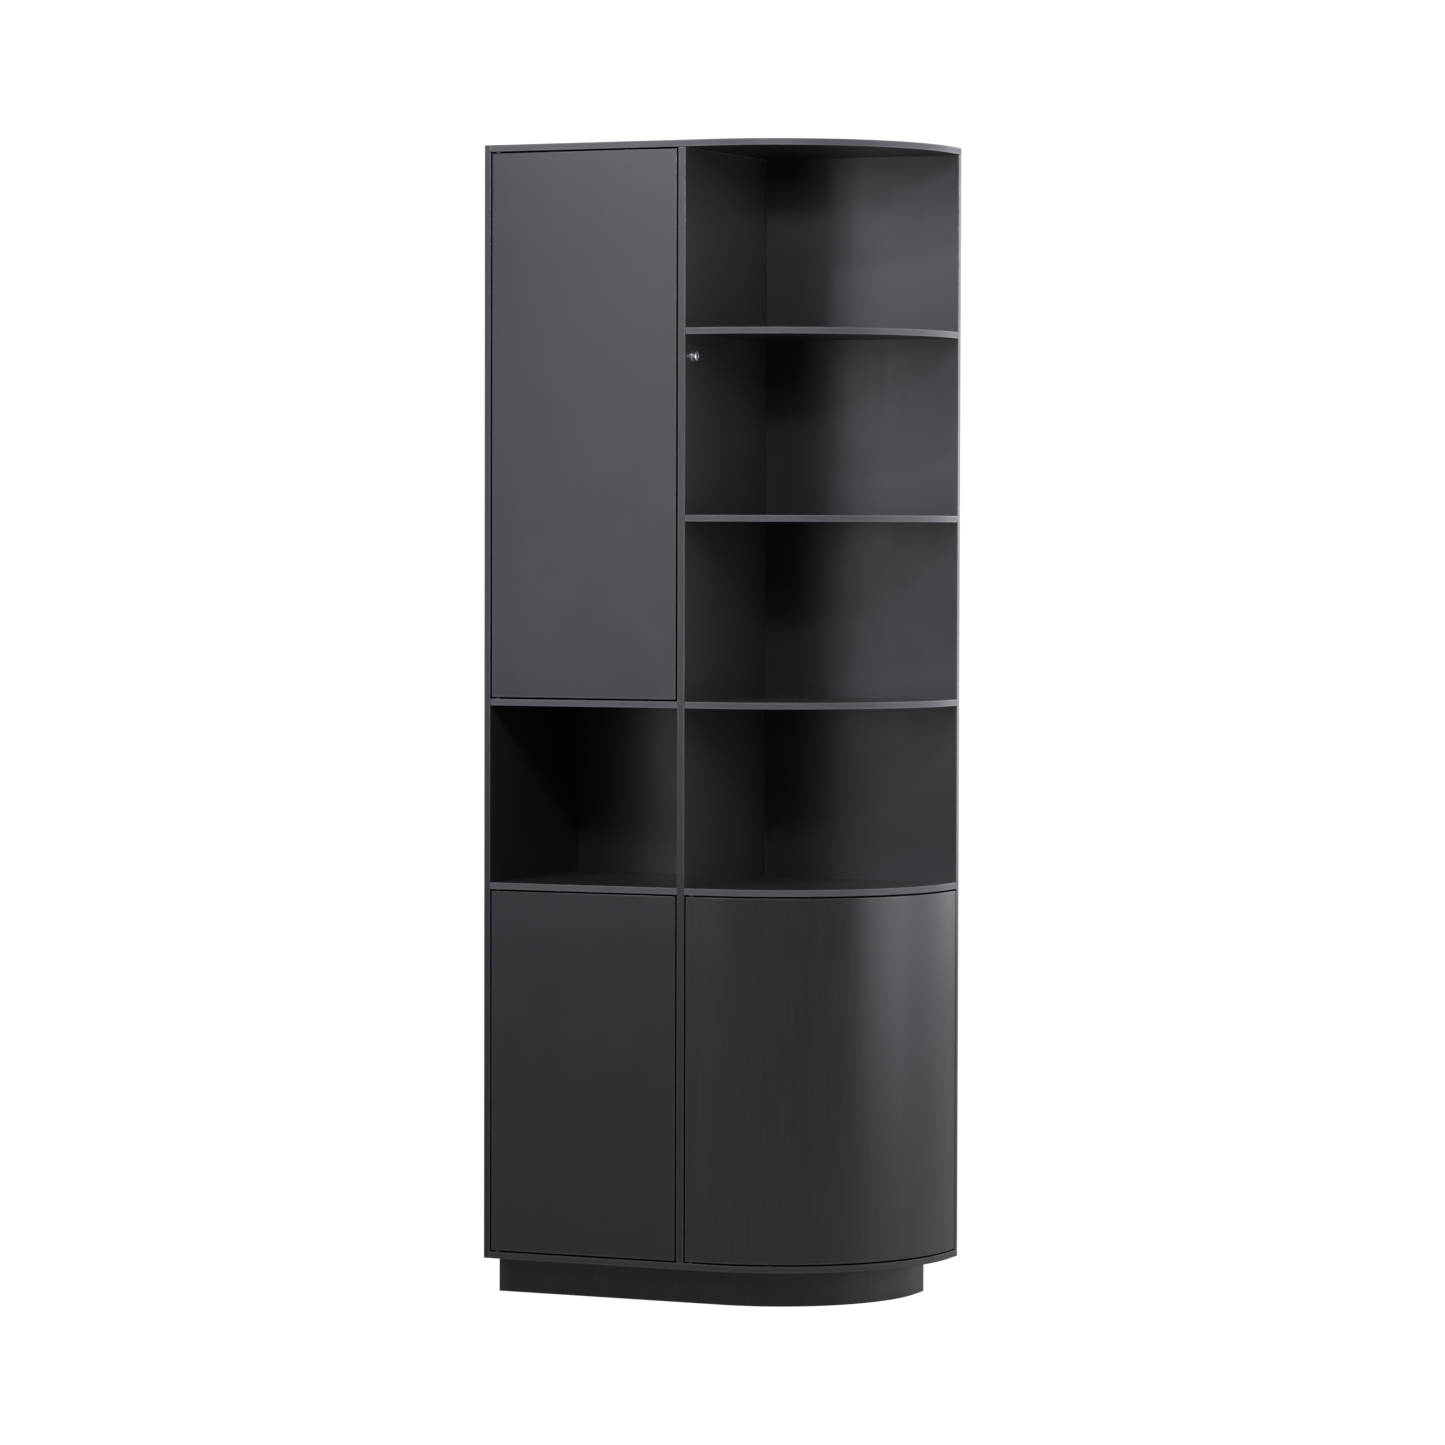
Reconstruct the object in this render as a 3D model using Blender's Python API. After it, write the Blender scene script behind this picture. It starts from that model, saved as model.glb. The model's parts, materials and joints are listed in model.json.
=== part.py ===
"""Curio cabinet with a flat door column and a rounded open shelf column.

Standalone Blender script. Metres, +Z up. The front faces -Y, and the origin is the
centre of the footprint on the floor.
"""
import math

import bmesh
import bpy
from mathutils import Matrix, Vector

for old_object in list(bpy.data.objects):
    bpy.data.objects.remove(old_object, do_unlink=True)

# Overall sizes
HEIGHT = 2.100
WIDTH = 0.780
CARCASS_DEPTH = 0.385          # front edge to rear edge of the side, divider and top
LEFT_COLUMN_WIDTH = 0.385      # outer face of the left side to the divider's left face
CURVE_START = 0.045            # straight front beside the divider, before the curve
CURVE_END = 0.037              # straight right end in front of the right back panel
PLINTH_HEIGHT = 0.069
PLINTH_SETBACK = 0.066         # behind the front, and in from the rounded corner
OPEN_BAY_HEIGHT = 0.3235       # clear height of each open bay and of the niche

# Board thicknesses
SIDE_BOARD = 0.012
TOP_BOARD = 0.012
BOTTOM_BOARD = 0.012
SHELF_BOARD = 0.012
RIGHT_BACK_BOARD = 0.012
PLINTH_BOARD = 0.012
DIVIDER_BOARD = 0.014
HARDBOARD = 0.003
FLAT_DOOR = 0.016
CURVED_DOOR = 0.014

# Clearances
TOUCH_GAP = 0.0003             # between pieces that touch
DOOR_GAP = 0.0035              # all round each inset door
RUNNING_GAP = 0.00015          # pin in bush, plunger in housing
SHELF_PLAY = 0.001             # at each end of an adjustable shelf
SHELF_BEHIND_DOOR = 0.020      # front of an adjustable shelf to the door's inner face

# Door pivots
PIVOT_INSET = 0.010            # pivot axis in from the door's hinge edge
PIN_RADIUS = 0.003
PIN_IN_DOOR = 0.010
PIN_IN_BUSH = 0.006
COLLAR_RADIUS = 0.0055
BUSH_RADIUS = 0.0045
BUSH_LENGTH = 0.007
FLANGE_RADIUS = 0.0065
FLANGE_THICKNESS = 0.0012

# Push latches
LATCH_WIDTH = 0.014
LATCH_LENGTH = 0.058
PLUNGER_RADIUS = 0.004
PLUNGER_OUT = 0.0045           # length that stands out of the housing
PLUNGER_IN = 0.005             # length inside the housing
PLUNGER_TRAVEL = 0.003
LATCH_BELOW_SHELF = 0.038      # latch axis below the underside of the shelf above it
STRIKE_SIZE = 0.016
STRIKE_THICKNESS = 0.0012

# Connectors
FITTING_SETBACK = 0.034        # cams and connector bolts, behind the front edge
CAM_INSET = 0.030              # cam centre from the divider
CAM_RADIUS = 0.006
CAM_DEPTH = 0.009
CAM_SLOT = 0.0014
HEAD_RADIUS = 0.0055           # connector bolt head
HEAD_THICKNESS = 0.0065
ROSETTE_RADIUS = 0.011         # flange under the head
ROSETTE_THICKNESS = 0.0016
CONNECTOR_SHANK = 0.0025
CONNECTOR_IN_LATCH = 0.008

# Shelf bearers
BEARER_LEG = 0.014
BEARER_STEEL = 0.0015
BEARER_BACK = 0.020            # bearer's ends, in from the shelf's front and rear edges

ARC_STEPS = 28
ROUND_STEPS = 20
SMALL_STEPS = 12             # steps of a bore under BORE_SPLIT in radius
BORE_SPLIT = 0.0028

# Colours (linear RGB), roughness and metallic value
CHARCOAL = ((0.045, 0.043, 0.047, 1.0), 0.45, 0.0)
BACK_GREY = ((0.060, 0.057, 0.062, 1.0), 0.50, 0.0)
PLINTH_BLACK = ((0.025, 0.024, 0.026, 1.0), 0.50, 0.0)
BRIGHT_STEEL = ((0.65, 0.65, 0.66, 1.0), 0.25, 1.0)
NYLON = ((0.10, 0.10, 0.11, 1.0), 0.55, 0.0)

# Places worked out from the sizes
X_LEFT = -WIDTH / 2
X_RIGHT = WIDTH / 2
X_SIDE = X_LEFT + SIDE_BOARD                     # inner face of the left side
X_DIVIDER_L = X_LEFT + LEFT_COLUMN_WIDTH
X_DIVIDER_R = X_DIVIDER_L + DIVIDER_BOARD
X_DIVIDER_MID = (X_DIVIDER_L + X_DIVIDER_R) / 2
Y_FRONT = -(CARCASS_DEPTH + TOUCH_GAP + HARDBOARD) / 2
Y_REAR = Y_FRONT + CARCASS_DEPTH
Y_BACK_FACE = Y_REAR - RIGHT_BACK_BOARD          # front face of the right back panel
CURVE_ACROSS = X_RIGHT - X_DIVIDER_R - CURVE_START
CURVE_DEEP = Y_BACK_FACE - Y_FRONT - CURVE_END
Z_BOTTOM = PLINTH_HEIGHT + BOTTOM_BOARD
Z_TOP = HEIGHT - TOP_BOARD
SHELF_PITCH = OPEN_BAY_HEIGHT + SHELF_BOARD
SHELF_TOPS = [Z_TOP - OPEN_BAY_HEIGHT - i * SHELF_PITCH for i in range(4)]
SHELF_UNDERS = [z - SHELF_BOARD for z in SHELF_TOPS]
NICHE_TOP = SHELF_TOPS[2]                        # upper face of the shelf above the niche
NICHE_FLOOR = SHELF_TOPS[3]                      # upper face of the shelf below the niche
LOWER_SHELF_TOP = (Z_BOTTOM + SHELF_UNDERS[3] + SHELF_BOARD) / 2
FRONT_ROW = Y_FRONT + FITTING_SETBACK

UP = Vector((0, 0, 1))
DOWN = Vector((0, 0, -1))
RIGHT = Vector((1, 0, 0))
LEFT = Vector((-1, 0, 0))
BACK = Vector((0, 1, 0))

holes = {}                     # object name: list of (point, direction, steps)


# ---------------------------------------------------------------- helpers
def paint(obj, finish):
    """Give the object its own Principled material."""
    colour, roughness, metallic = finish
    material = bpy.data.materials.new(obj.name)
    material.use_nodes = True
    shader = material.node_tree.nodes["Principled BSDF"]
    shader.inputs["Base Color"].default_value = colour
    shader.inputs["Roughness"].default_value = roughness
    shader.inputs["Metallic"].default_value = metallic
    obj.data.materials.append(material)


def add_object(name, bm, finish=None):
    """Turn a bmesh into a named object."""
    bmesh.ops.recalc_face_normals(bm, faces=bm.faces)
    mesh = bpy.data.meshes.new(name)
    bm.to_mesh(mesh)
    bm.free()
    obj = bpy.data.objects.new(name, mesh)
    bpy.context.scene.collection.objects.link(obj)
    if finish is not None:
        paint(obj, finish)
    return obj


def prism(name, outline, z_low, z_high, finish):
    """A board cut to a plan outline."""
    bm = bmesh.new()
    ring = [bm.verts.new((x, y, z_low)) for x, y in outline]
    face = bm.faces.new(ring)
    grown = bmesh.ops.extrude_face_region(bm, geom=[face])
    lifted = [item for item in grown["geom"] if isinstance(item, bmesh.types.BMVert)]
    bmesh.ops.translate(bm, verts=lifted, vec=(0, 0, z_high - z_low))
    return add_object(name, bm, finish)


def board(name, low, high, finish=CHARCOAL):
    """A rectangular board between two corners."""
    outline = [(low[0], low[1]), (high[0], low[1]), (high[0], high[1]), (low[0], high[1])]
    return prism(name, outline, low[2], high[2], finish)


def corner_arc(setback):
    """Plan points of the rounded corner, set back square to the curve, front end first."""
    points = []
    for i in range(ARC_STEPS + 1):
        angle = math.pi / 2 * i / ARC_STEPS
        outwards = Vector((math.sin(angle) / CURVE_ACROSS, -math.cos(angle) / CURVE_DEEP))
        outwards.normalize()
        x = X_RIGHT - CURVE_ACROSS * (1 - math.sin(angle)) - setback * outwards.x
        y = Y_FRONT + CURVE_DEEP * (1 - math.cos(angle)) - setback * outwards.y
        points.append((x, y))
    return points


def rounded_plan(setback, x_start, y_end):
    """Plan of a board that fills the rounded column behind the given setback."""
    front = Y_FRONT + setback
    points = [(x_start, front)] + corner_arc(setback)
    return points + [(X_RIGHT - setback, y_end), (x_start, y_end)]


def curved_strip(setback, thickness, x_start, y_end):
    """Plan of a board of even thickness that bends round the corner."""
    outer = [(x_start, Y_FRONT + setback)] + corner_arc(setback) + [(X_RIGHT - setback, y_end)]
    inner_setback = setback + thickness
    inner = [(x_start, Y_FRONT + inner_setback)] + corner_arc(inner_setback)
    inner = inner + [(X_RIGHT - inner_setback, y_end)]
    return outer + inner[::-1]


def turned(bm, profile, point, direction, steps):
    """Add a turned solid. The profile holds (radius, distance along the axis) pairs."""
    turn = Vector((0, 0, 1)).rotation_difference(direction).to_matrix().to_4x4()
    place = Matrix.Translation(point) @ turn
    before = set(bm.verts)
    verts = [bm.verts.new((radius, 0, along)) for radius, along in profile]
    edges = [bm.edges.new(pair) for pair in zip(verts, verts[1:])]
    if profile[0][0] > 0:
        edges.append(bm.edges.new((verts[-1], verts[0])))
    bmesh.ops.spin(bm, geom=verts + edges, cent=(0, 0, 0), axis=(0, 0, 1),
                   angle=2 * math.pi, steps=steps, use_merge=True)
    fresh = [vert for vert in bm.verts if vert not in before]
    bmesh.ops.remove_doubles(bm, verts=fresh, dist=1e-6)
    fresh = [vert for vert in bm.verts if vert not in before]
    bmesh.ops.transform(bm, matrix=place, verts=fresh)


def rod_profile(steps):
    """Profile of a stepped rod, from (radius, length) pairs, starting at 0 on the axis."""
    profile = [(0, 0)]
    along = 0
    for radius, length in steps:
        profile.append((radius, along))
        along += length
        profile.append((radius, along))
    profile.append((0, along))
    return profile


def rod(name, point, direction, profile, finish):
    """A turned piece that starts at the point and runs along the direction."""
    bm = bmesh.new()
    turned(bm, profile, Vector(point), direction, ROUND_STEPS)
    obj = add_object(name, bm, finish)
    obj.data.shade_smooth()
    obj.data.set_sharp_from_angle(angle=math.radians(40))
    return obj


def hole(obj_name, point, direction, steps):
    """Ask for a bore from a board's surface, in (radius, depth) steps."""
    holes.setdefault(obj_name, []).append((Vector(point), direction, steps))


def cut_away(target, bm):
    """Cut a cutter's bmesh out of the target with an exact Boolean."""
    cutter = add_object(target.name + "_cutter", bm)
    cutter.hide_render = True
    cutter.display_type = "WIRE"
    cut = target.modifiers.new("cut", "BOOLEAN")
    cut.operation = "DIFFERENCE"
    cut.solver = "EXACT"
    cut.object = cutter
    return cutter


def drill_all():
    """Cut all the bores of each board at once."""
    entry = 0.001
    for obj_name, bores in holes.items():
        bm = bmesh.new()
        for point, direction, steps in bores:
            first_radius, first_depth = steps[0]
            lengths = [(first_radius, first_depth + entry)] + steps[1:]
            segments = ROUND_STEPS if first_radius > BORE_SPLIT else SMALL_STEPS
            turned(bm, rod_profile(lengths), point - direction * entry, direction, segments)
        cut_away(bpy.data.objects[obj_name], bm)


def hang_on(child, parent):
    """Parent a piece and keep its place."""
    child.parent = parent
    child.matrix_parent_inverse = Matrix.Translation(parent.location).inverted()


def move_origin(obj, point):
    """Put the object's origin on its joint axis without moving the shape."""
    obj.data.transform(Matrix.Translation(-Vector(point)))
    obj.location = point


# ---------------------------------------------------------------- carcass
def make_carcass():
    board("left_side_panel", (X_LEFT, Y_FRONT, PLINTH_HEIGHT), (X_SIDE, Y_REAR, HEIGHT))
    board("centre_divider", (X_DIVIDER_L, Y_FRONT, Z_BOTTOM + TOUCH_GAP),
          (X_DIVIDER_R, Y_REAR, Z_TOP - TOUCH_GAP))
    cap_plan = rounded_plan(0, X_SIDE + TOUCH_GAP, Y_REAR)
    prism("top_panel", cap_plan, Z_TOP, HEIGHT, CHARCOAL)
    prism("bottom_panel", cap_plan, PLINTH_HEIGHT, Z_BOTTOM, CHARCOAL)
    board("right_back_panel", (X_DIVIDER_R + TOUCH_GAP, Y_BACK_FACE, Z_BOTTOM + TOUCH_GAP),
          (X_RIGHT, Y_REAR, Z_TOP - TOUCH_GAP), BACK_GREY)
    board("left_back_panel", (X_LEFT, Y_REAR + TOUCH_GAP, PLINTH_HEIGHT),
          (X_DIVIDER_MID, Y_REAR + TOUCH_GAP + HARDBOARD, HEIGHT), BACK_GREY)


def make_fixed_shelves():
    for name, z_top in (("niche_top_shelf", NICHE_TOP), ("niche_bottom_shelf", NICHE_FLOOR)):
        board(name, (X_SIDE + TOUCH_GAP, Y_FRONT, z_top - SHELF_BOARD),
              (X_DIVIDER_L - TOUCH_GAP, Y_REAR, z_top))
    plan = rounded_plan(0, X_DIVIDER_R + TOUCH_GAP, Y_BACK_FACE - TOUCH_GAP)
    for number, z_top in enumerate(SHELF_TOPS, start=1):
        prism(f"curved_shelf_{number}", plan, z_top - SHELF_BOARD, z_top, CHARCOAL)


def make_adjustable_shelves():
    front = Y_FRONT + FLAT_DOOR + SHELF_BEHIND_DOOR
    tops = {"upper_inner_shelf_1": SHELF_TOPS[0], "upper_inner_shelf_2": SHELF_TOPS[1],
            "lower_inner_shelf": LOWER_SHELF_TOP}
    for name, z_top in tops.items():
        board(name, (X_SIDE + SHELF_PLAY, front, z_top - SHELF_BOARD),
              (X_DIVIDER_L - SHELF_PLAY, Y_REAR - SHELF_PLAY, z_top))
    plan = rounded_plan(CURVED_DOOR + SHELF_BEHIND_DOOR, X_DIVIDER_R + SHELF_PLAY,
                        Y_BACK_FACE - SHELF_PLAY)
    prism("curved_inner_shelf", plan, LOWER_SHELF_TOP - SHELF_BOARD, LOWER_SHELF_TOP, CHARCOAL)


def bearer(name, start, end, wall_way, z_top):
    """A steel angle under a shelf, from start to end in plan, against the wall on wall_way."""
    along = (end - start).normalized()
    wall = start + wall_way * -TOUCH_GAP
    out = -wall_way
    leg, steel = BEARER_LEG, BEARER_STEEL
    section = [(0, 0), (leg, 0), (leg, -steel), (steel, -steel), (steel, -leg), (0, -leg)]
    bm = bmesh.new()
    ring = []
    for across, height in section:
        corner = wall + out * across
        ring.append(bm.verts.new((corner.x, corner.y, z_top + height)))
    face = bm.faces.new(ring)
    grown = bmesh.ops.extrude_face_region(bm, geom=[face])
    moved = [item for item in grown["geom"] if isinstance(item, bmesh.types.BMVert)]
    bmesh.ops.translate(bm, verts=moved, vec=along * (end - start).length)
    add_object(name, bm, BRIGHT_STEEL)


def make_shelf_bearers():
    front = Y_FRONT + FLAT_DOOR + SHELF_BEHIND_DOOR + BEARER_BACK
    rear = Y_REAR - BEARER_BACK
    tops = {"upper_inner_shelf_1": SHELF_TOPS[0], "upper_inner_shelf_2": SHELF_TOPS[1],
            "lower_inner_shelf": LOWER_SHELF_TOP}
    for name, z_top in tops.items():
        z = z_top - SHELF_BOARD - TOUCH_GAP
        for side, x, way in (("left", X_SIDE, LEFT), ("right", X_DIVIDER_L, RIGHT)):
            bearer(f"{name}_bearer_{side}", Vector((x, front, 0)), Vector((x, rear, 0)), way, z)
    z = LOWER_SHELF_TOP - SHELF_BOARD - TOUCH_GAP
    rear = Y_BACK_FACE - BEARER_BACK
    bearer("curved_inner_shelf_bearer_left", Vector((X_DIVIDER_R, front, 0)),
           Vector((X_DIVIDER_R, rear, 0)), LEFT, z)
    right_end = X_RIGHT - CURVED_DOOR - SHELF_BEHIND_DOOR - BEARER_BACK
    bearer("curved_inner_shelf_bearer_back", Vector((X_DIVIDER_R + BEARER_BACK, Y_BACK_FACE, 0)),
           Vector((right_end, Y_BACK_FACE, 0)), BACK, z)


# ---------------------------------------------------------------- plinth
def make_plinth():
    top = PLINTH_HEIGHT - TOUCH_GAP
    front = Y_FRONT + PLINTH_SETBACK
    inner_front = front + PLINTH_BOARD + TOUCH_GAP
    right_inner = X_RIGHT - PLINTH_SETBACK - PLINTH_BOARD - TOUCH_GAP
    back_front = Y_REAR - PLINTH_BOARD
    plan = curved_strip(PLINTH_SETBACK, PLINTH_BOARD, X_LEFT, Y_REAR)
    prism("plinth_front_fascia", plan, 0, top, PLINTH_BLACK)
    board("plinth_left_board", (X_LEFT, inner_front, 0), (X_LEFT + PLINTH_BOARD, Y_REAR, top),
          PLINTH_BLACK)
    back_left = X_LEFT + PLINTH_BOARD + TOUCH_GAP
    board("plinth_back_board", (back_left, back_front, 0), (right_inner, Y_REAR, top), PLINTH_BLACK)
    rail_front = inner_front
    rail_back = back_front - TOUCH_GAP
    rails = {"plinth_rail_left": (X_LEFT + X_DIVIDER_L) / 2, "plinth_rail_centre": X_DIVIDER_MID}
    for name, x in rails.items():
        board(name, (x - PLINTH_BOARD / 2, rail_front, 0), (x + PLINTH_BOARD / 2, rail_back, top),
              PLINTH_BLACK)


# ---------------------------------------------------------------- doors
def make_pivots(door, axis_x, axis_y, z_low, z_high, board_below, board_above):
    """Pins in the door's ends and bushes in the boards below and above it."""
    collar = DOOR_GAP - FLANGE_THICKNESS - 3 * TOUCH_GAP
    pin = rod_profile([(PIN_RADIUS, PIN_IN_DOOR), (COLLAR_RADIUS, collar),
                       (PIN_RADIUS, TOUCH_GAP + FLANGE_THICKNESS + PIN_IN_BUSH)])
    bore_radius = PIN_RADIUS + RUNNING_GAP
    bush_end = FLANGE_THICKNESS + BUSH_LENGTH
    bush = [(bore_radius, 0), (FLANGE_RADIUS, 0), (FLANGE_RADIUS, FLANGE_THICKNESS),
            (BUSH_RADIUS, FLANGE_THICKNESS), (BUSH_RADIUS, bush_end), (bore_radius, bush_end)]
    ends = (("lower", z_low, DOWN, board_below), ("upper", z_high, UP, board_above))
    for end_name, z, outwards, board_name in ends:
        edge = Vector((axis_x, axis_y, z))
        pin_start = edge - outwards * (PIN_IN_DOOR - TOUCH_GAP)
        pin_object = rod(f"{door.name}_{end_name}_pin", pin_start, outwards, pin, BRIGHT_STEEL)
        hang_on(pin_object, door)
        hole(door.name, edge, -outwards, [(PIN_RADIUS + TOUCH_GAP, PIN_IN_DOOR)])
        board_face = edge + outwards * DOOR_GAP
        bush_start = board_face - outwards * (FLANGE_THICKNESS + TOUCH_GAP)
        rod(f"{door.name}_{end_name}_bush", bush_start, outwards, bush, NYLON)
        seat = [(BUSH_RADIUS + TOUCH_GAP, BUSH_LENGTH + TOUCH_GAP)]
        hole(board_name, board_face, outwards, seat)


def make_flat_door(name, z_floor, z_ceiling, board_below, board_above):
    low = (X_SIDE + DOOR_GAP, Y_FRONT, z_floor + DOOR_GAP)
    high = (X_DIVIDER_L - DOOR_GAP, Y_FRONT + FLAT_DOOR, z_ceiling - DOOR_GAP)
    door = board(name, low, high)
    axis_x = low[0] + PIVOT_INSET
    axis_y = Y_FRONT + FLAT_DOOR / 2
    move_origin(door, (axis_x, axis_y, low[2]))
    make_pivots(door, axis_x, axis_y, low[2], high[2], board_below, board_above)
    return door


def make_curved_door():
    name = "curved_door"
    x_start = X_DIVIDER_R + DOOR_GAP
    z_low = Z_BOTTOM + DOOR_GAP
    z_high = SHELF_UNDERS[3] - DOOR_GAP
    plan = curved_strip(0, CURVED_DOOR, x_start, Y_BACK_FACE - DOOR_GAP)
    door = prism(name, plan, z_low, z_high, CHARCOAL)
    axis_x = x_start + PIVOT_INSET
    axis_y = Y_FRONT + CURVED_DOOR / 2
    move_origin(door, (axis_x, axis_y, z_low))
    make_pivots(door, axis_x, axis_y, z_low, z_high, "bottom_panel", "curved_shelf_4")
    return door


# ---------------------------------------------------------------- latches
def block(name, corner_a, corner_b, finish):
    """A rectangular piece between any two opposite corners."""
    low = [min(a, b) for a, b in zip(corner_a, corner_b)]
    high = [max(a, b) for a, b in zip(corner_a, corner_b)]
    return board(name, low, high, finish)


def make_latch(door, inner_face, into, mount_way):
    """Strike plate, sprung plunger and housing of one push latch.

    inner_face is where the plunger's axis meets the door's inner face, into points from the
    door into the cupboard, and mount_way points to the board that carries the housing.
    """
    across = into.cross(mount_way)
    half_plate = STRIKE_SIZE / 2
    # Towards the mounting board the plate stops where the door does.
    plate_edge = LATCH_WIDTH / 2 + TOUCH_GAP - DOOR_GAP
    plate_near = inner_face + into * TOUCH_GAP
    plate_far = plate_near + into * STRIKE_THICKNESS
    strike = block(door.name + "_strike_plate",
                   plate_near + across * half_plate + mount_way * plate_edge,
                   plate_far - across * half_plate - mount_way * half_plate, BRIGHT_STEEL)
    hang_on(strike, door)

    tip = plate_far + into * TOUCH_GAP
    plunger = rod(door.name + "_latch_plunger", tip, into,
                  rod_profile([(PLUNGER_RADIUS, PLUNGER_OUT + PLUNGER_IN)]), BRIGHT_STEEL)
    move_origin(plunger, tip)

    half_width = LATCH_WIDTH / 2
    front = tip + into * PLUNGER_OUT
    rear = front + into * LATCH_LENGTH
    housing = block(door.name + "_latch_housing",
                    front + across * half_width + mount_way * half_width,
                    rear - across * half_width - mount_way * half_width, NYLON)
    bore_depth = PLUNGER_IN + PLUNGER_TRAVEL + TOUCH_GAP
    hole(housing.name, front, into, [(PLUNGER_RADIUS + 2 * RUNNING_GAP, bore_depth)])
    return housing


def make_connector(name, z, housing):
    """A bolt with a cross recess that holds a latch housing through the divider."""
    flange_end = HEAD_THICKNESS + ROSETTE_THICKNESS
    head_point = Vector((X_DIVIDER_R + TOUCH_GAP + flange_end, FRONT_ROW, z))
    chamfer = HEAD_THICKNESS / 8
    bevel = ROSETTE_THICKNESS / 2
    tip = flange_end + DIVIDER_BOARD + 2 * TOUCH_GAP + CONNECTOR_IN_LATCH
    profile = [(0, 0), (HEAD_RADIUS - chamfer, 0), (HEAD_RADIUS, chamfer),
               (HEAD_RADIUS, HEAD_THICKNESS), (ROSETTE_RADIUS - bevel, HEAD_THICKNESS),
               (ROSETTE_RADIUS, HEAD_THICKNESS + bevel), (ROSETTE_RADIUS, flange_end),
               (CONNECTOR_SHANK, flange_end), (CONNECTOR_SHANK, tip), (0, tip)]
    bolt = rod(name, head_point, LEFT, profile, BRIGHT_STEEL)
    arm = HEAD_RADIUS * 0.55
    width = HEAD_RADIUS * 0.22
    plan = [(width, arm), (width, width), (arm, width), (arm, -width), (width, -width),
            (width, -arm), (-width, -arm), (-width, -width), (-arm, -width), (-arm, width),
            (-width, width), (-width, arm)]
    depth = HEAD_THICKNESS * 0.35
    bm = bmesh.new()
    x = head_point.x - depth
    face = bm.faces.new([bm.verts.new((x, FRONT_ROW + u, z + v)) for u, v in plan])
    grown = bmesh.ops.extrude_face_region(bm, geom=[face])
    moved = [item for item in grown["geom"] if isinstance(item, bmesh.types.BMVert)]
    bmesh.ops.translate(bm, verts=moved, vec=(depth * 2, 0, 0))
    cut_away(bolt, bm)
    clear_radius = CONNECTOR_SHANK + TOUCH_GAP
    hole("centre_divider", (X_DIVIDER_R, FRONT_ROW, z), LEFT,
         [(clear_radius, DIVIDER_BOARD + TOUCH_GAP * 3)])
    hole(housing.name, (X_DIVIDER_L - TOUCH_GAP, FRONT_ROW, z), LEFT,
         [(clear_radius, CONNECTOR_IN_LATCH + TOUCH_GAP)])


def make_latches(upper_door, lower_door, curved_door):
    off_board = LATCH_WIDTH / 2 + TOUCH_GAP
    for door, under in ((upper_door, SHELF_UNDERS[0]), (lower_door, SHELF_UNDERS[3])):
        z = under - LATCH_BELOW_SHELF
        inner_face = Vector((X_DIVIDER_L - off_board, Y_FRONT + FLAT_DOOR, z))
        housing = make_latch(door, inner_face, BACK, RIGHT)
        make_connector(door.name + "_latch_bolt", z, housing)
    stub_middle = Y_BACK_FACE - (CURVE_END + DOOR_GAP) / 2
    inner_face = Vector((X_RIGHT - CURVED_DOOR, stub_middle, SHELF_UNDERS[3] - off_board))
    make_latch(curved_door, inner_face, LEFT, UP)


# ---------------------------------------------------------------- joining hardware
def make_cams():
    """A cam lock in the underside of each open shelf, near the divider's front."""
    for number, under in enumerate(SHELF_UNDERS, start=1):
        place = Vector((X_DIVIDER_R + CAM_INSET, FRONT_ROW, under))
        cam = rod(f"cam_lock_{number}", place + UP * TOUCH_GAP, UP,
                  rod_profile([(CAM_RADIUS, CAM_DEPTH)]), BRIGHT_STEEL)
        bm = bmesh.new()
        size = Matrix.Diagonal((CAM_RADIUS * 1.5, CAM_SLOT, CAM_SLOT * 2, 1))
        bmesh.ops.create_cube(bm, size=1, matrix=Matrix.Translation(place) @ size)
        cut_away(cam, bm)
        hole(f"curved_shelf_{number}", place, UP, [(CAM_RADIUS + TOUCH_GAP, CAM_DEPTH + 2 * TOUCH_GAP)])


# ---------------------------------------------------------------- build
make_carcass()
make_fixed_shelves()
make_adjustable_shelves()
make_shelf_bearers()
make_plinth()
upper = make_flat_door("upper_left_door", NICHE_TOP, Z_TOP, "niche_top_shelf", "top_panel")
lower = make_flat_door("lower_left_door", Z_BOTTOM, SHELF_UNDERS[3], "bottom_panel",
                       "niche_bottom_shelf")
curved = make_curved_door()
make_latches(upper, lower, curved)
make_cams()
drill_all()
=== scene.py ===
# %% [markdown]
# # A tall charcoal cabinet with a rounded open column
# This lesson dresses the cabinet's CAD frame. The frame has every board, door and fitting in
# its place as a plain solid. Here each board that shows is modelled again with banded,
# slightly rounded arrises, and every surface gets a finish built from nodes. The frame is
# read first, and its parts are kept in the scene.

# %% Load the frame
import json
import math

import bpy
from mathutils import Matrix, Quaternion, Vector

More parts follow.
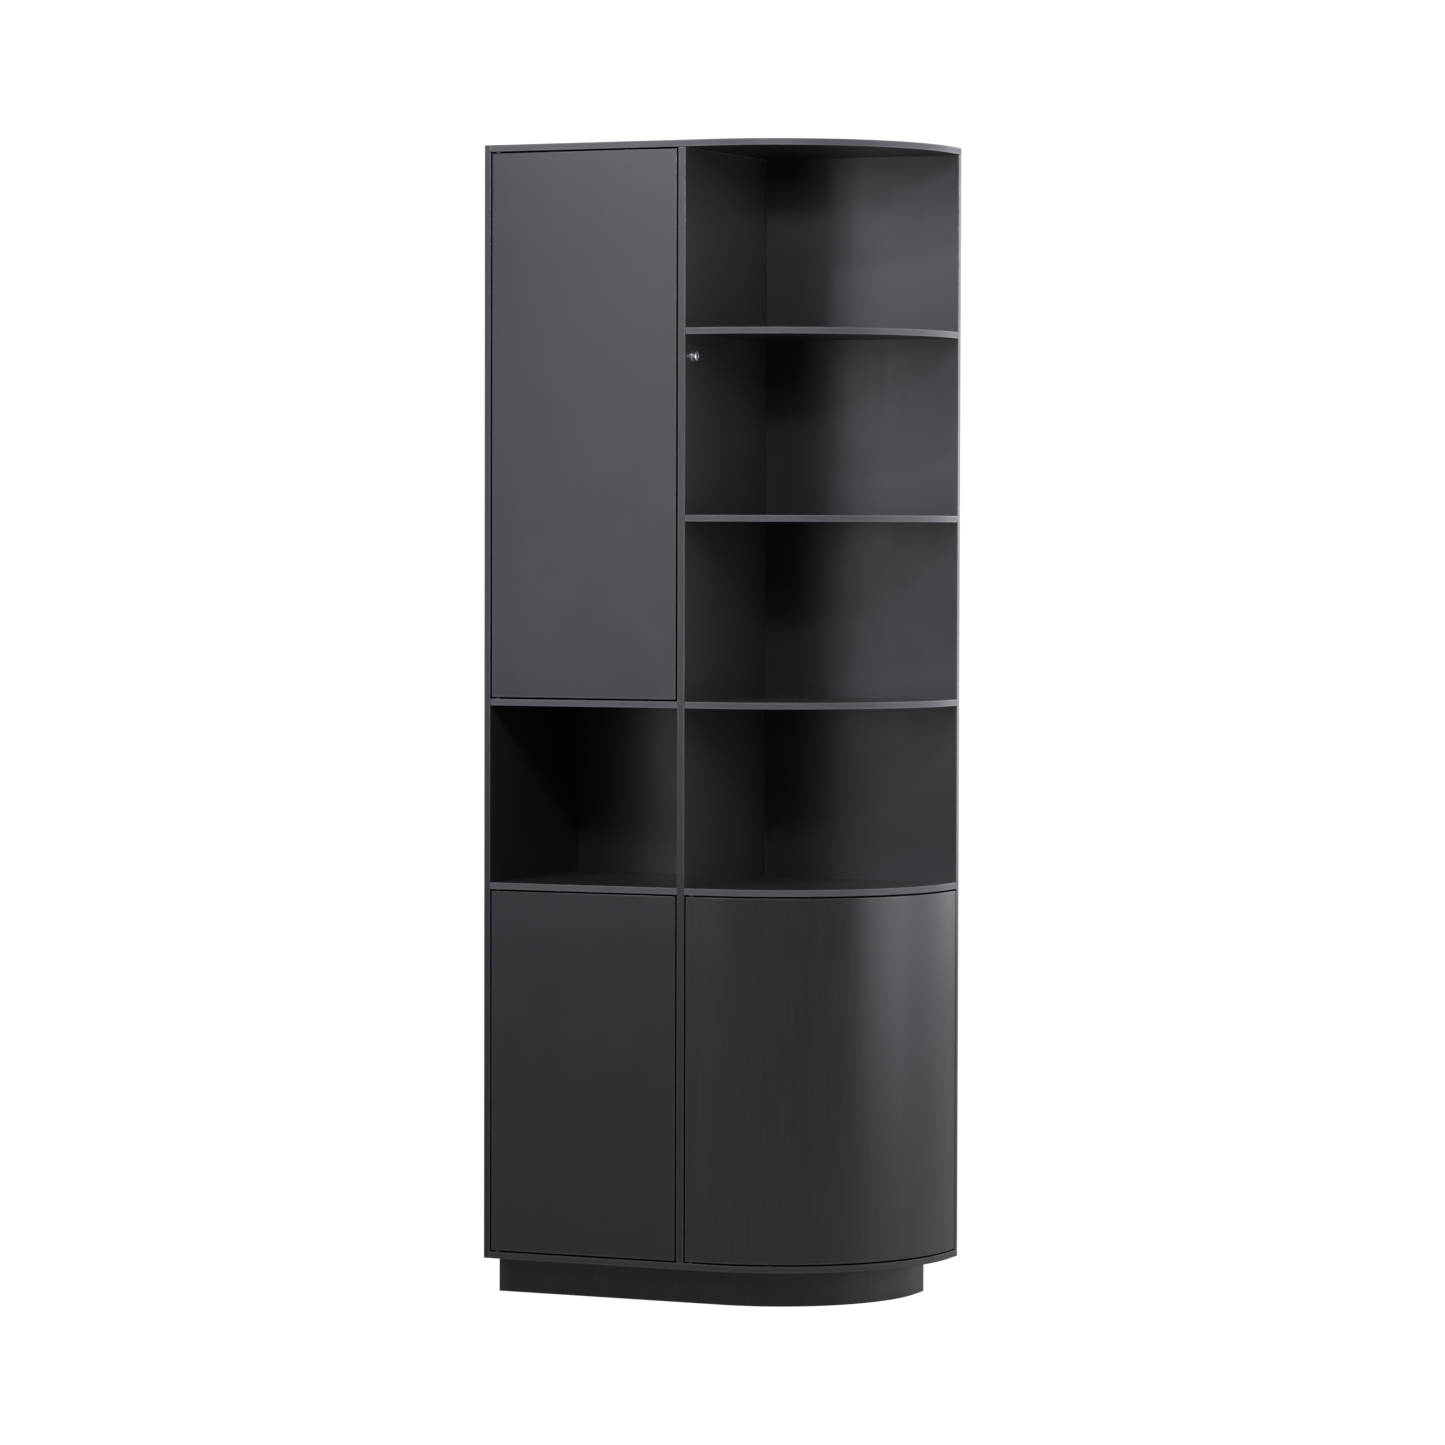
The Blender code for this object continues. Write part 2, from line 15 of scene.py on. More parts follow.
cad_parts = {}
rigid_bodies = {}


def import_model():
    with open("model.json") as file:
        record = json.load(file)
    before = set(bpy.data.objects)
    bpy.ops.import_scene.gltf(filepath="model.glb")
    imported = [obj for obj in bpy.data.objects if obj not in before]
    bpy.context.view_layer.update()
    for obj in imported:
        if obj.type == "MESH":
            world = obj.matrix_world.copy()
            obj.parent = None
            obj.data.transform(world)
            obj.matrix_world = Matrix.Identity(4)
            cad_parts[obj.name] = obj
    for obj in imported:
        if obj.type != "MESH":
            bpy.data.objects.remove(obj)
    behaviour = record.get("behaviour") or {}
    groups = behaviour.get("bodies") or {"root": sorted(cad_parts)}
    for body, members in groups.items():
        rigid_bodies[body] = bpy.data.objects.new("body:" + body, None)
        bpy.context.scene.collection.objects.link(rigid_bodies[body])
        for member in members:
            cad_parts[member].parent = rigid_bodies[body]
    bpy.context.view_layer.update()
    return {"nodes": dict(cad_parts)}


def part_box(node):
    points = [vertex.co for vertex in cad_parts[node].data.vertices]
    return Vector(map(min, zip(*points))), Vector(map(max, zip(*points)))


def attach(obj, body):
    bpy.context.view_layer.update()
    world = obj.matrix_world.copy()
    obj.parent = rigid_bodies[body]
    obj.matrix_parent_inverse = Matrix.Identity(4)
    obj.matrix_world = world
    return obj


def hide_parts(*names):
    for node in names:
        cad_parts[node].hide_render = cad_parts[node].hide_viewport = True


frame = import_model()
nodes = frame["nodes"]

# %% [markdown]
# ## The camera
# A long lens from far away keeps the boards nearly parallel, as in a catalogue. The cabinet
# is seen from the right, so that the rounded column turns towards the viewer, from two thirds
# of its height. The camera could be aimed at a target with a constraint, but three angles
# are easier to read and to change: the turn to the left, the tilt down and a slight roll.

# %% Camera
CAMERA_PLACE = Vector((3.9497, -9.1230, 1.3958))
CAMERA_TURN = 23.411                 # degrees to the left of straight ahead
CAMERA_TILT = 1.991                  # degrees down
CAMERA_ROLL = 0.142                  # degrees, against the clock as the camera looks
CAMERA_LENS = 135.48                 # mm
SENSOR_WIDTH = 36                    # mm

camera_data = bpy.data.cameras.new("camera")
camera_data.sensor_width = SENSOR_WIDTH
camera_data.lens = CAMERA_LENS
camera = bpy.data.objects.new("camera", camera_data)
bpy.context.scene.collection.objects.link(camera)
camera.rotation_mode = "QUATERNION"
turn, tilt = math.radians(CAMERA_TURN), math.radians(CAMERA_TILT)
look = Vector((-math.sin(turn) * math.cos(tilt), math.cos(turn) * math.cos(tilt),
               -math.sin(tilt)))
level = look.to_track_quat("-Z", "Y")
camera.rotation_quaternion = level @ Quaternion((0, 0, 1), math.radians(CAMERA_ROLL))
camera.location = CAMERA_PLACE
bpy.context.scene.camera = camera

# %% [markdown]
# ## The studio
# Dark satin foil shows mostly what it reflects. The viewer sees a white room, and the
# cabinet sees a dim one with soft boxes in it, so each face darkens where no box is
# mirrored. The boxes in front, left of the middle, light the doors and the back walls of the
# bays and leave the left of each bay in shade. Those at the side and behind draw the curve.

# %% Room
def new_material(name):
    """An empty node material. Returns it with its nodes and its links."""
    material = bpy.data.materials.new(name)
    material.use_nodes = True
    tree = material.node_tree
    tree.nodes.clear()
    return material, tree.nodes, tree.links


ROOM_WHITE = 1.05                    # as the viewer sees it
ROOM_DIM = 0.10                      # as the cabinet sees it
ROOM_TINT = (0.90, 0.88, 1.35, 1)    # bluer in the shade
world = bpy.data.worlds.new("studio")
bpy.context.scene.world = world
world.use_nodes = True
w_nodes, w_links = world.node_tree.nodes, world.node_tree.links
w_nodes.clear()
w_out = w_nodes.new("ShaderNodeOutputWorld")
w_mix = w_nodes.new("ShaderNodeMixShader")
w_path = w_nodes.new("ShaderNodeLightPath")
w_dark = w_nodes.new("ShaderNodeBackground")
w_dark.inputs["Color"].default_value = ROOM_TINT
w_dark.inputs["Strength"].default_value = ROOM_DIM
w_seen = w_nodes.new("ShaderNodeBackground")
w_seen.inputs["Color"].default_value = (1, 1, 1, 1)
w_seen.inputs["Strength"].default_value = ROOM_WHITE
w_links.new(w_path.outputs["Is Camera Ray"], w_mix.inputs["Fac"])
w_links.new(w_dark.outputs[0], w_mix.inputs[1])
w_links.new(w_seen.outputs[0], w_mix.inputs[2])
w_links.new(w_mix.outputs[0], w_out.inputs["Surface"])
bpy.context.scene.view_settings.view_transform = "Standard"
print("room", ROOM_WHITE, "to the viewer and", ROOM_DIM, "to the cabinet")

# %% [markdown]
# ### The floor
# The cabinet seems to stand on nothing but white, so the floor glows for the viewer. For
# the cabinet it is a dull grey sheet that gives back a little warm light from below.

# %% Floor
FLOOR_SIZE = 60
FLOOR_GREY = 0.25
FLOOR_GLOW = 0.15
FLOOR_TINT = (1.06, 1.0, 0.94, 1)    # warmer near the floor
bpy.ops.object.select_all(action="DESELECT")
bpy.ops.mesh.primitive_plane_add(size=FLOOR_SIZE, location=(0, 0, 0))
floor = bpy.context.object
floor.name = "floor"
floor_paint, f_nodes, f_links = new_material("pale_floor")
f_out = f_nodes.new("ShaderNodeOutputMaterial")
f_mix = f_nodes.new("ShaderNodeMixShader")
f_path = f_nodes.new("ShaderNodeLightPath")
f_seen = f_nodes.new("ShaderNodeEmission")
f_seen.inputs["Strength"].default_value = ROOM_WHITE
f_dull = f_nodes.new("ShaderNodeBsdfDiffuse")
f_dull.inputs["Color"].default_value = (FLOOR_GREY, FLOOR_GREY, FLOOR_GREY, 1)
f_links.new(f_path.outputs["Is Camera Ray"], f_mix.inputs["Fac"])
f_glow = f_nodes.new("ShaderNodeEmission")
f_glow.inputs["Color"].default_value = FLOOR_TINT
f_glow.inputs["Strength"].default_value = FLOOR_GLOW
f_both = f_nodes.new("ShaderNodeAddShader")
f_links.new(f_dull.outputs[0], f_both.inputs[0])
f_links.new(f_glow.outputs[0], f_both.inputs[1])
f_links.new(f_both.outputs[0], f_mix.inputs[1])
f_links.new(f_seen.outputs[0], f_mix.inputs[2])
f_links.new(f_mix.outputs[0], f_out.inputs["Surface"])
floor.data.materials.append(floor_paint)
print("floor", FLOOR_SIZE, "m square")


# %% [markdown]
# ### The lamps
# Twelve lamps do what a studio's soft boxes and boards do. Each is a rectangle that faces
# the cabinet. Large ones far away stand for walls and the ceiling, and the smallest, high in
# front, give the shadows under the shelves an edge.

# %% Lamps
LAMP_TINT = (1.0, 0.955, 1.045)      # a trace of violet
UPPER_BAYS = (0, 0, 1.6)             # where most lamps are aimed
RIGHT_BAYS = (0.1, 0, 1.6)


def soft_box(name, place, aim, width, height, power):
    """A rectangular area lamp that faces a point, and that the camera doesn't see."""
    data = bpy.data.lights.new(name, "AREA")
    data.shape = "RECTANGLE"
    data.size, data.size_y, data.energy = width, height, power
    data.color = LAMP_TINT
    lamp = bpy.data.objects.new(name, data)
    bpy.context.scene.collection.objects.link(lamp)
    lamp.location = place
    lamp.rotation_mode = "QUATERNION"
    lamp.rotation_quaternion = (Vector(aim) - Vector(place)).to_track_quat("-Z", "Y")
    lamp.visible_camera = False


def around(degrees, distance, height):
    """A place round the cabinet. 0 is straight in front, and the right is positive."""
    turn = math.radians(degrees)
    return math.sin(turn) * distance, -math.cos(turn) * distance, height


# in front, a little to the left
soft_box("key", around(-20, 3.0, 1.4), UPPER_BAYS, 1.2, 1.2, 8.1)
soft_box("key_left", around(-30, 3.0, 1.4), UPPER_BAYS, 1.2, 1.2, 3.2)
soft_box("key_small", around(-20, 3.3, 2.2), UPPER_BAYS, 0.5, 0.5, 3.1)
soft_box("key_high", around(-20, 3.0, 3.0), UPPER_BAYS, 1.2, 1.2, 9.5)
soft_box("key_high_left", around(-26, 3.3, 3.0), UPPER_BAYS, 0.5, 0.5, 21.3)
soft_box("key_top", around(-18, 3.3, 3.7), UPPER_BAYS, 0.15, 0.15, 42.0)
# in front, to the right
soft_box("front_high", around(15, 3.0, 2.9), UPPER_BAYS, 0.3, 0.3, 34.1)
soft_box("right_high", around(30, 3.0, 2.8), RIGHT_BAYS, 1.0, 1.0, 24.2)
# beside, behind and above, for the curve, the rear edges and the top
soft_box("side_wall", around(92, 3.3, 1.5), (0.1, 0, 1.3), 1.8, 2.4, 38.0)
soft_box("right_wall", around(115, 6.0, 1.9), UPPER_BAYS, 4.0, 3.0, 125.0)
soft_box("back_wall", around(150, 6.0, 1.9), UPPER_BAYS, 4.0, 3.0, 120.5)
soft_box("ceiling", (0.5, 1.8, 4.2), (0, 0, 1.0), 2.5, 2.5, 110.0)
print("lamps:", len(bpy.data.lights), "with", round(sum(d.energy for d in bpy.data.lights)), "W")

# %% [markdown]
# ## Finishes
# The boards are chipboard under a printed wood foil: charcoal, satin, with a fine grain that
# is felt more than seen. The grain could be an image, but noise stretched along one direction
# gives the same figure at any distance and never repeats. Three effects are used by several
# materials, so each is a node group: the grain of the foil, the rubbing of the arrises, and
# the uneven sheen that hands and dusters leave.

# %% Node helpers
def new_group(name, inputs, outputs):
    """A shader node group with named inputs (name, type, default) and outputs (name, type)."""
    group = bpy.data.node_groups.new(name, "ShaderNodeTree")
    for label, kind, value in inputs:
        socket = group.interface.new_socket(label, in_out="INPUT", socket_type=kind)
        if value is not None:
            socket.default_value = value
    for label, kind in outputs:
        group.interface.new_socket(label, in_out="OUTPUT", socket_type=kind)
    return group, group.nodes.new("NodeGroupInput"), group.nodes.new("NodeGroupOutput")


def add_node(tree, kind, links=(), **values):
    """A node with its options set, and its inputs fed by sockets or set to values."""
    node = tree.nodes.new(kind)
    for option, value in values.items():
        setattr(node, option, value)
    for socket, value in dict(links).items():
        if isinstance(value, bpy.types.NodeSocket):
            tree.links.new(value, node.inputs[socket])
        else:
            node.inputs[socket].default_value = value
    return node


def stretch(tree, place, by):
    """The place with each direction multiplied, so that a pattern is drawn out."""
    return add_node(tree, "ShaderNodeVectorMath", {0: place, 1: by},
                    operation="MULTIPLY").outputs[0]


def noise(tree, place, scale, detail=2.0, rough=0.5):
    """Cloudy noise, with scale clouds to a metre."""
    return add_node(tree, "ShaderNodeTexNoise",
                    {"Vector": place, "Scale": scale, "Detail": detail,
                     "Roughness": rough}).outputs[0]


def ramp(tree, value, low, high, to_low=0.0, to_high=1.0):
    """A soft step from to_low to to_high, as the value goes from low to high."""
    return add_node(tree, "ShaderNodeMapRange",
                    {"Value": value, "From Min": low, "From Max": high,
                     "To Min": to_low, "To Max": to_high},
                    interpolation_type="SMOOTHSTEP").outputs[0]


def math_node(tree, operation, a, b):
    """A sum, a difference or a product of two numbers."""
    return add_node(tree, "ShaderNodeMath", {0: a, 1: b}, operation=operation).outputs[0]


def blend_colour(tree, factor, a, b):
    """A colour between a and b. The factor 0 gives a, and 1 gives b."""
    node = tree.nodes.new("ShaderNodeMix")
    node.data_type = "RGBA"
    for socket, value in ((node.inputs[0], factor), (node.inputs[6], a), (node.inputs[7], b)):
        if isinstance(value, bpy.types.NodeSocket):
            tree.links.new(value, socket)
        else:
            socket.default_value = value
    return node.outputs[2]


# %% [markdown]
# ### Grain
# The print shows long streaks of two widths, which sway a little along the board, and fine
# dark pores. All three are noise on a place that is squeezed along the grain.

# %% Grain group
SQUEEZE = 0.03                       # along the grain
DRIFT_SQUEEZE = 0.2
SWAY = 0.03                          # m, sideways
grain_group, g_in, g_out = new_group(
    "foil_grain", [("Place", "NodeSocketVector", None)],
    [("Tone", "NodeSocketFloat"), ("Pores", "NodeSocketFloat"), ("Height", "NodeSocketFloat")])
place = g_in.outputs["Place"]
drawn_out = stretch(grain_group, place, (1, 1, SQUEEZE))
drift = noise(grain_group, stretch(grain_group, place, (1, 1, DRIFT_SQUEEZE)), 7.0)
sway = math_node(grain_group, "MULTIPLY", drift, SWAY)
both_ways = add_node(grain_group, "ShaderNodeCombineXYZ", {"X": sway, "Y": sway}).outputs[0]
swayed = add_node(grain_group, "ShaderNodeVectorMath", {0: drawn_out, 1: both_ways},
                  operation="ADD").outputs[0]
figure = noise(grain_group, swayed, 30.0)
streaks = noise(grain_group, swayed, 260.0, 3.0, 0.65)
fine = noise(grain_group, swayed, 1100.0, 1.0)
pores = ramp(grain_group, fine, 0.58, 0.72)
tone = math_node(grain_group, "ADD", math_node(grain_group, "MULTIPLY", streaks, 0.7),
                 math_node(grain_group, "MULTIPLY", figure, 0.3))
height = math_node(grain_group, "SUBTRACT", math_node(grain_group, "MULTIPLY", streaks, 0.3),
                   pores)
grain_group.links.new(ramp(grain_group, tone, 0.34, 0.66), g_out.inputs["Tone"])
grain_group.links.new(pores, g_out.inputs["Pores"])
grain_group.links.new(height, g_out.inputs["Height"])
print("grain:", len(grain_group.nodes), "nodes")

# %% [markdown]
# ### Wear
# Foil rubs through first on the arris, in patches. The arris number of the mesh says how near
# an arris is, and noise breaks it up.

# %% Wear group
wear_group, g_in, g_out = new_group(
    "arris_wear", [("Place", "NodeSocketVector", None), ("Arris", "NodeSocketFloat", 0.0)],
    [("Wear", "NodeSocketFloat")])
patchy = noise(wear_group, g_in.outputs["Place"], 60.0, 4.0, 0.65)
reach = math_node(wear_group, "ADD", g_in.outputs["Arris"],
                  math_node(wear_group, "MULTIPLY", patchy, 0.9))
wear_group.links.new(ramp(wear_group, reach, 0.85, 1.25), g_out.inputs["Wear"])
print("wear:", len(wear_group.nodes), "nodes")

# %% [markdown]
# ### Sheen and dust
# Hands and cloths leave a satin surface a little uneven. Dust settles as fine specks on what
# faces up, and nowhere else.

# %% Sheen group
sheen_group, g_in, g_out = new_group(
    "uneven_sheen", [("Place", "NodeSocketVector", None)],
    [("Smudge", "NodeSocketFloat"), ("Dust", "NodeSocketFloat")])
place = g_in.outputs["Place"]
broad = noise(sheen_group, place, 4.0, 3.0, 0.55)
wiped = noise(sheen_group, stretch(sheen_group, place, (1, 1, 0.4)), 22.0, 3.0, 0.6)
smudge = math_node(sheen_group, "ADD", math_node(sheen_group, "MULTIPLY", broad, 0.6),
                   math_node(sheen_group, "MULTIPLY", wiped, 0.4))
sheen_group.links.new(ramp(sheen_group, smudge, 0.35, 0.65), g_out.inputs["Smudge"])
facing = add_node(sheen_group, "ShaderNodeNewGeometry").outputs["Normal"]
upwards = add_node(sheen_group, "ShaderNodeSeparateXYZ", {0: facing}).outputs["Z"]
specks = ramp(sheen_group, noise(sheen_group, place, 700.0, 2.0, 0.7), 0.45, 0.75)
dust = math_node(sheen_group, "MULTIPLY", ramp(sheen_group, upwards, 0.7, 1.0), specks)
sheen_group.links.new(dust, g_out.inputs["Dust"])
print("node groups:", sorted(group.name for group in bpy.data.node_groups))

# %% [markdown]
# ## The foil
# One recipe makes all the foils. It takes the place of a point on the board, turns it so that
# the grain runs the right way, and asks the groups for grain, wear and sheen. The dark and the
# light tone are close together, because the print is nearly plain. The band round the shelves
# is duller, and is painted lighter than the foil: a painted sheen for the brightness that the
# shelf edges catch. On the lowest board the same band is painted darker, a painted shade for
# the dimmer light low down. On a strip round an edge the grain follows the strip, so there the
# place is rebuilt from the height and the distance along the edge: x plus y grows steadily all
# the way round the rounded corner.

# %% Foil recipe
RUBBED = (0.060, 0.056, 0.061, 1)
DUST = (0.35, 0.34, 0.33, 1)
UNEVEN = 0.02                        # how far the roughness strays either way
PORE_HEIGHT = 0.00008                # m


def foil(name, run, dark, light, roughness, pore_depth, gloss=0.5, rubbed=RUBBED):
    """A wood foil. run is "upright", "level" or "round" for the way the grain goes.

    pore_depth, from 0 to 1, says how strongly the pores are dark, rough and deep.
    """
    material, _, links = new_material(name)
    tree = material.node_tree
    output = add_node(tree, "ShaderNodeOutputMaterial")
    shader = add_node(tree, "ShaderNodeBsdfPrincipled", {"Specular IOR Level": gloss})
    links.new(shader.outputs[0], output.inputs["Surface"])
    where = add_node(tree, "ShaderNodeTexCoord").outputs["Object"]
    turned = where
    if run == "level":
        turned = add_node(tree, "ShaderNodeMapping",
                          {"Vector": where, "Rotation": (0, math.pi / 2, 0)}).outputs[0]
    if run == "round":
        split = add_node(tree, "ShaderNodeSeparateXYZ", {0: where})
        along = math_node(tree, "ADD", split.outputs["X"], split.outputs["Y"])
        turned = add_node(tree, "ShaderNodeCombineXYZ",
                          {"X": split.outputs["Z"], "Z": along}).outputs[0]
    grain = add_node(tree, "ShaderNodeGroup", node_tree=grain_group)
    links.new(turned, grain.inputs["Place"])
    sheen = add_node(tree, "ShaderNodeGroup", node_tree=sheen_group)
    links.new(where, sheen.inputs["Place"])
    arris = add_node(tree, "ShaderNodeAttribute", attribute_name="arris")
    wear = add_node(tree, "ShaderNodeGroup", node_tree=wear_group)
    links.new(where, wear.inputs["Place"])
    links.new(arris.outputs["Fac"], wear.inputs["Arris"])

    colour = blend_colour(tree, grain.outputs["Tone"], dark, light)
    pored = math_node(tree, "MULTIPLY", grain.outputs["Pores"], pore_depth)
    colour = blend_colour(tree, pored, colour, [c * 0.4 for c in dark[:3]] + [1])
    worn = math_node(tree, "MULTIPLY", wear.outputs["Wear"], 0.5)
    colour = blend_colour(tree, worn, colour, rubbed)
    dusted = math_node(tree, "MULTIPLY", sheen.outputs["Dust"], 0.05)
    colour = blend_colour(tree, dusted, colour, DUST)
    links.new(colour, shader.inputs["Base Color"])
    rough = ramp(tree, sheen.outputs["Smudge"], 0.0, 1.0, roughness - UNEVEN, roughness + UNEVEN)
    in_pores = math_node(tree, "MULTIPLY", grain.outputs["Pores"], pore_depth * 0.12)
    rough = math_node(tree, "ADD", rough, in_pores)
    on_arris = math_node(tree, "MULTIPLY", wear.outputs["Wear"], 0.1)
    rough = math_node(tree, "SUBTRACT", rough, on_arris)
    links.new(rough, shader.inputs["Roughness"])
    bump = add_node(tree, "ShaderNodeBump", {"Strength": pore_depth, "Distance": PORE_HEIGHT,
                                             "Height": grain.outputs["Height"]})
    links.new(bump.outputs[0], shader.inputs["Normal"])
    return material


# %% Foils
CHARCOAL_DARK = (0.0160, 0.0148, 0.0162, 1)
CHARCOAL_LIGHT = (0.0176, 0.0163, 0.0178, 1)
GRAIN_DARK = (0.0140, 0.0130, 0.0140, 1)
GRAIN_LIGHT = (0.0196, 0.0183, 0.0196, 1)
# Shelf band tones: painted lighter than the foil, a painted sheen on the shelf edges.
PAINTED_SHEEN_BAND_DARK = (0.069, 0.065, 0.069, 1)
PAINTED_SHEEN_BAND_LIGHT = (0.088, 0.083, 0.088, 1)
BAND_RUBBED = (0.125, 0.120, 0.127, 1)
# Lowest board's band tones: the same band painted darker, a painted shade low down.
PAINTED_SHADE_BAND_DARK = (0.031, 0.029, 0.030, 1)
PAINTED_SHADE_BAND_LIGHT = (0.039, 0.037, 0.038, 1)
PLINTH_DARK = (0.0180, 0.0168, 0.0176, 1)
PLINTH_LIGHT = (0.0245, 0.0230, 0.0240, 1)
foil_upright = foil("charcoal_foil_upright", "upright", CHARCOAL_DARK, CHARCOAL_LIGHT, 0.32, 0.06)
foil_level = foil("charcoal_foil_level", "level", CHARCOAL_DARK, CHARCOAL_LIGHT, 0.32, 0.06)
foil_bent = foil("charcoal_foil_bent", "upright", GRAIN_DARK, GRAIN_LIGHT, 0.33, 0.13)
band_upright = foil("edge_band_upright", "upright", GRAIN_DARK, GRAIN_LIGHT, 0.34, 0.10)
band_painted_sheen = foil("edge_band_painted_sheen", "round", PAINTED_SHEEN_BAND_DARK, PAINTED_SHEEN_BAND_LIGHT, 0.40, 0.3, 0.2, BAND_RUBBED)
band_painted_shade = foil("edge_band_painted_shade", "round", PAINTED_SHADE_BAND_DARK, PAINTED_SHADE_BAND_LIGHT, 0.38, 0.3, 0.3)
plinth_foil = foil("plinth_foil", "upright", PLINTH_DARK, PLINTH_LIGHT, 0.34, 0.2)
print("foils so far:", foil_upright.name, foil_level.name, foil_bent.name, plinth_foil.name)


# %% [markdown]
# ## Raw materials and metals
# The back of the left column is a thin hardboard, brown and felted behind. The screws and
# bearers are zinc plated steel, which is never evenly bright, and the pivot pins are
# blackened. The bushes and latch housings are moulded nylon with a faint grain. One recipe
# serves all four: a cloudy noise mixes two colours and two roughnesses, and a finer one gives
# the relief.

# %% Plain materials
def simple_material(name, colours, roughnesses, metallic, scale, fine_scale, relief):
    """Two close colours, two roughnesses and a fine relief in metres, all from noise."""
    material, _, links = new_material(name)
    tree = material.node_tree
    output = add_node(tree, "ShaderNodeOutputMaterial")
    shader = add_node(tree, "ShaderNodeBsdfPrincipled", {"Metallic": metallic})
    links.new(shader.outputs[0], output.inputs["Surface"])
    where = add_node(tree, "ShaderNodeTexCoord").outputs["Object"]
    cloudy = ramp(tree, noise(tree, where, scale, 4.0, 0.6), 0.35, 0.65)
    fine = noise(tree, where, fine_scale, 3.0, 0.6)
    colour = blend_colour(tree, cloudy, *colours)
    colour = blend_colour(tree, math_node(tree, "MULTIPLY", fine, 0.25), colour, colours[0])
    links.new(colour, shader.inputs["Base Color"])
    links.new(ramp(tree, cloudy, 0.0, 1.0, *roughnesses), shader.inputs["Roughness"])
    bump = add_node(tree, "ShaderNodeBump", {"Strength": 0.6, "Distance": relief,
                                             "Height": fine})
    links.new(bump.outputs[0], shader.inputs["Normal"])
    return material


BROWNS = ((0.085, 0.050, 0.030, 1), (0.15, 0.092, 0.058, 1))
ZINC_GREYS = ((0.52, 0.53, 0.55, 1), (0.72, 0.72, 0.73, 1))
BLACKENED = ((0.030, 0.030, 0.031, 1), (0.050, 0.050, 0.052, 1))
NYLON_GREYS = ((0.030, 0.030, 0.032, 1), (0.045, 0.045, 0.047, 1))
hardboard = simple_material("hardboard_felted", BROWNS, (0.75, 0.9), 0.0, 150.0, 900.0, 0.0002)
zinc = simple_material("zinc_plated_steel", ZINC_GREYS, (0.22, 0.38), 1.0, 260.0, 1800.0, 0.00003)
dark_steel = simple_material("blackened_steel", BLACKENED, (0.42, 0.55), 1.0, 260.0, 1800.0,
                             0.00003)
nylon = simple_material("moulded_nylon", NYLON_GREYS, (0.42, 0.55), 0.0, 120.0, 2200.0, 0.00004)
print("materials in all:", len(bpy.data.materials))

# %% [markdown]
# ## Making a board
# A banded board is cut square, the foil is on its two faces and a strip of edge band is glued
# round it, and the arris between them is eased with a scraper. So a board starts as a block
# of the right size. Its sharp edges are bevelled by a little over half a millimetre, the flat
# faces are inset by what shows of the band's thickness, and inset again so that wear can fade
# out over three millimetres. The wear is kept as a number on each point, called arris.

# %% Modelling helpers
ARRIS_RADIUS = 0.0006
BAND_SHOWING = 0.0004
WEAR_WIDTH = 0.003
WELD = 0.000001                      # points nearer than this are one
FACING = 0.9                         # how squarely a face looks along a direction, at least
SHARP_EDGE = math.radians(40)
CREASE = math.radians(35)            # shading stays crisp across a sharper edge


def select_only(piece):
    """Select one piece and make it the active one."""
    bpy.ops.object.select_all(action="DESELECT")
    piece.select_set(True)
    bpy.context.view_layer.objects.active = piece


def edit(piece, kind="FACE"):
    """Go into edit mode on one piece, choosing points, edges or faces."""
    select_only(piece)
    bpy.ops.object.mode_set(mode="EDIT")
    bpy.ops.mesh.select_mode(type=kind)


def leave_edit():
    bpy.ops.object.mode_set(mode="OBJECT")


def block(name, low, high):
    """A block between two corners, as a start."""
    bpy.ops.object.select_all(action="DESELECT")
    bpy.ops.mesh.primitive_cube_add(size=1, location=(low + high) / 2, scale=high - low)
    piece = bpy.context.object
    piece.name = piece.data.name = name
    bpy.ops.object.transform_apply(location=True, rotation=True, scale=True)
    return piece


def choose_faces(piece, test):
    """Select the faces that pass a test, and no others, and stay in edit mode."""
    edit(piece)
    bpy.ops.mesh.select_all(action="DESELECT")
    leave_edit()
    for face in piece.data.polygons:
        face.select = test(face)
    edit(piece)


def draw_out(step):
    """Extrude what is selected by a step in x, y and z."""
    bpy.ops.mesh.extrude_region_move(TRANSFORM_OT_translate={"value": step})


def soften(piece, radius, steps):
    """Round all the sharp edges of a piece."""
    edit(piece, "EDGE")
    bpy.ops.mesh.select_all(action="DESELECT")
    bpy.ops.mesh.edges_select_sharp(sharpness=SHARP_EDGE)
    bpy.ops.mesh.bevel(offset=radius, segments=steps, profile=0.5, affect="EDGES")
    leave_edit()


def shortest_side(piece, face):
    """The length of a face's shortest side, which tells a bevel's strips from the board."""
    points = [piece.data.vertices[index].co for index in face.vertices]
    return min((a - b).length for a, b in zip(points, points[1:] + points[:1]))


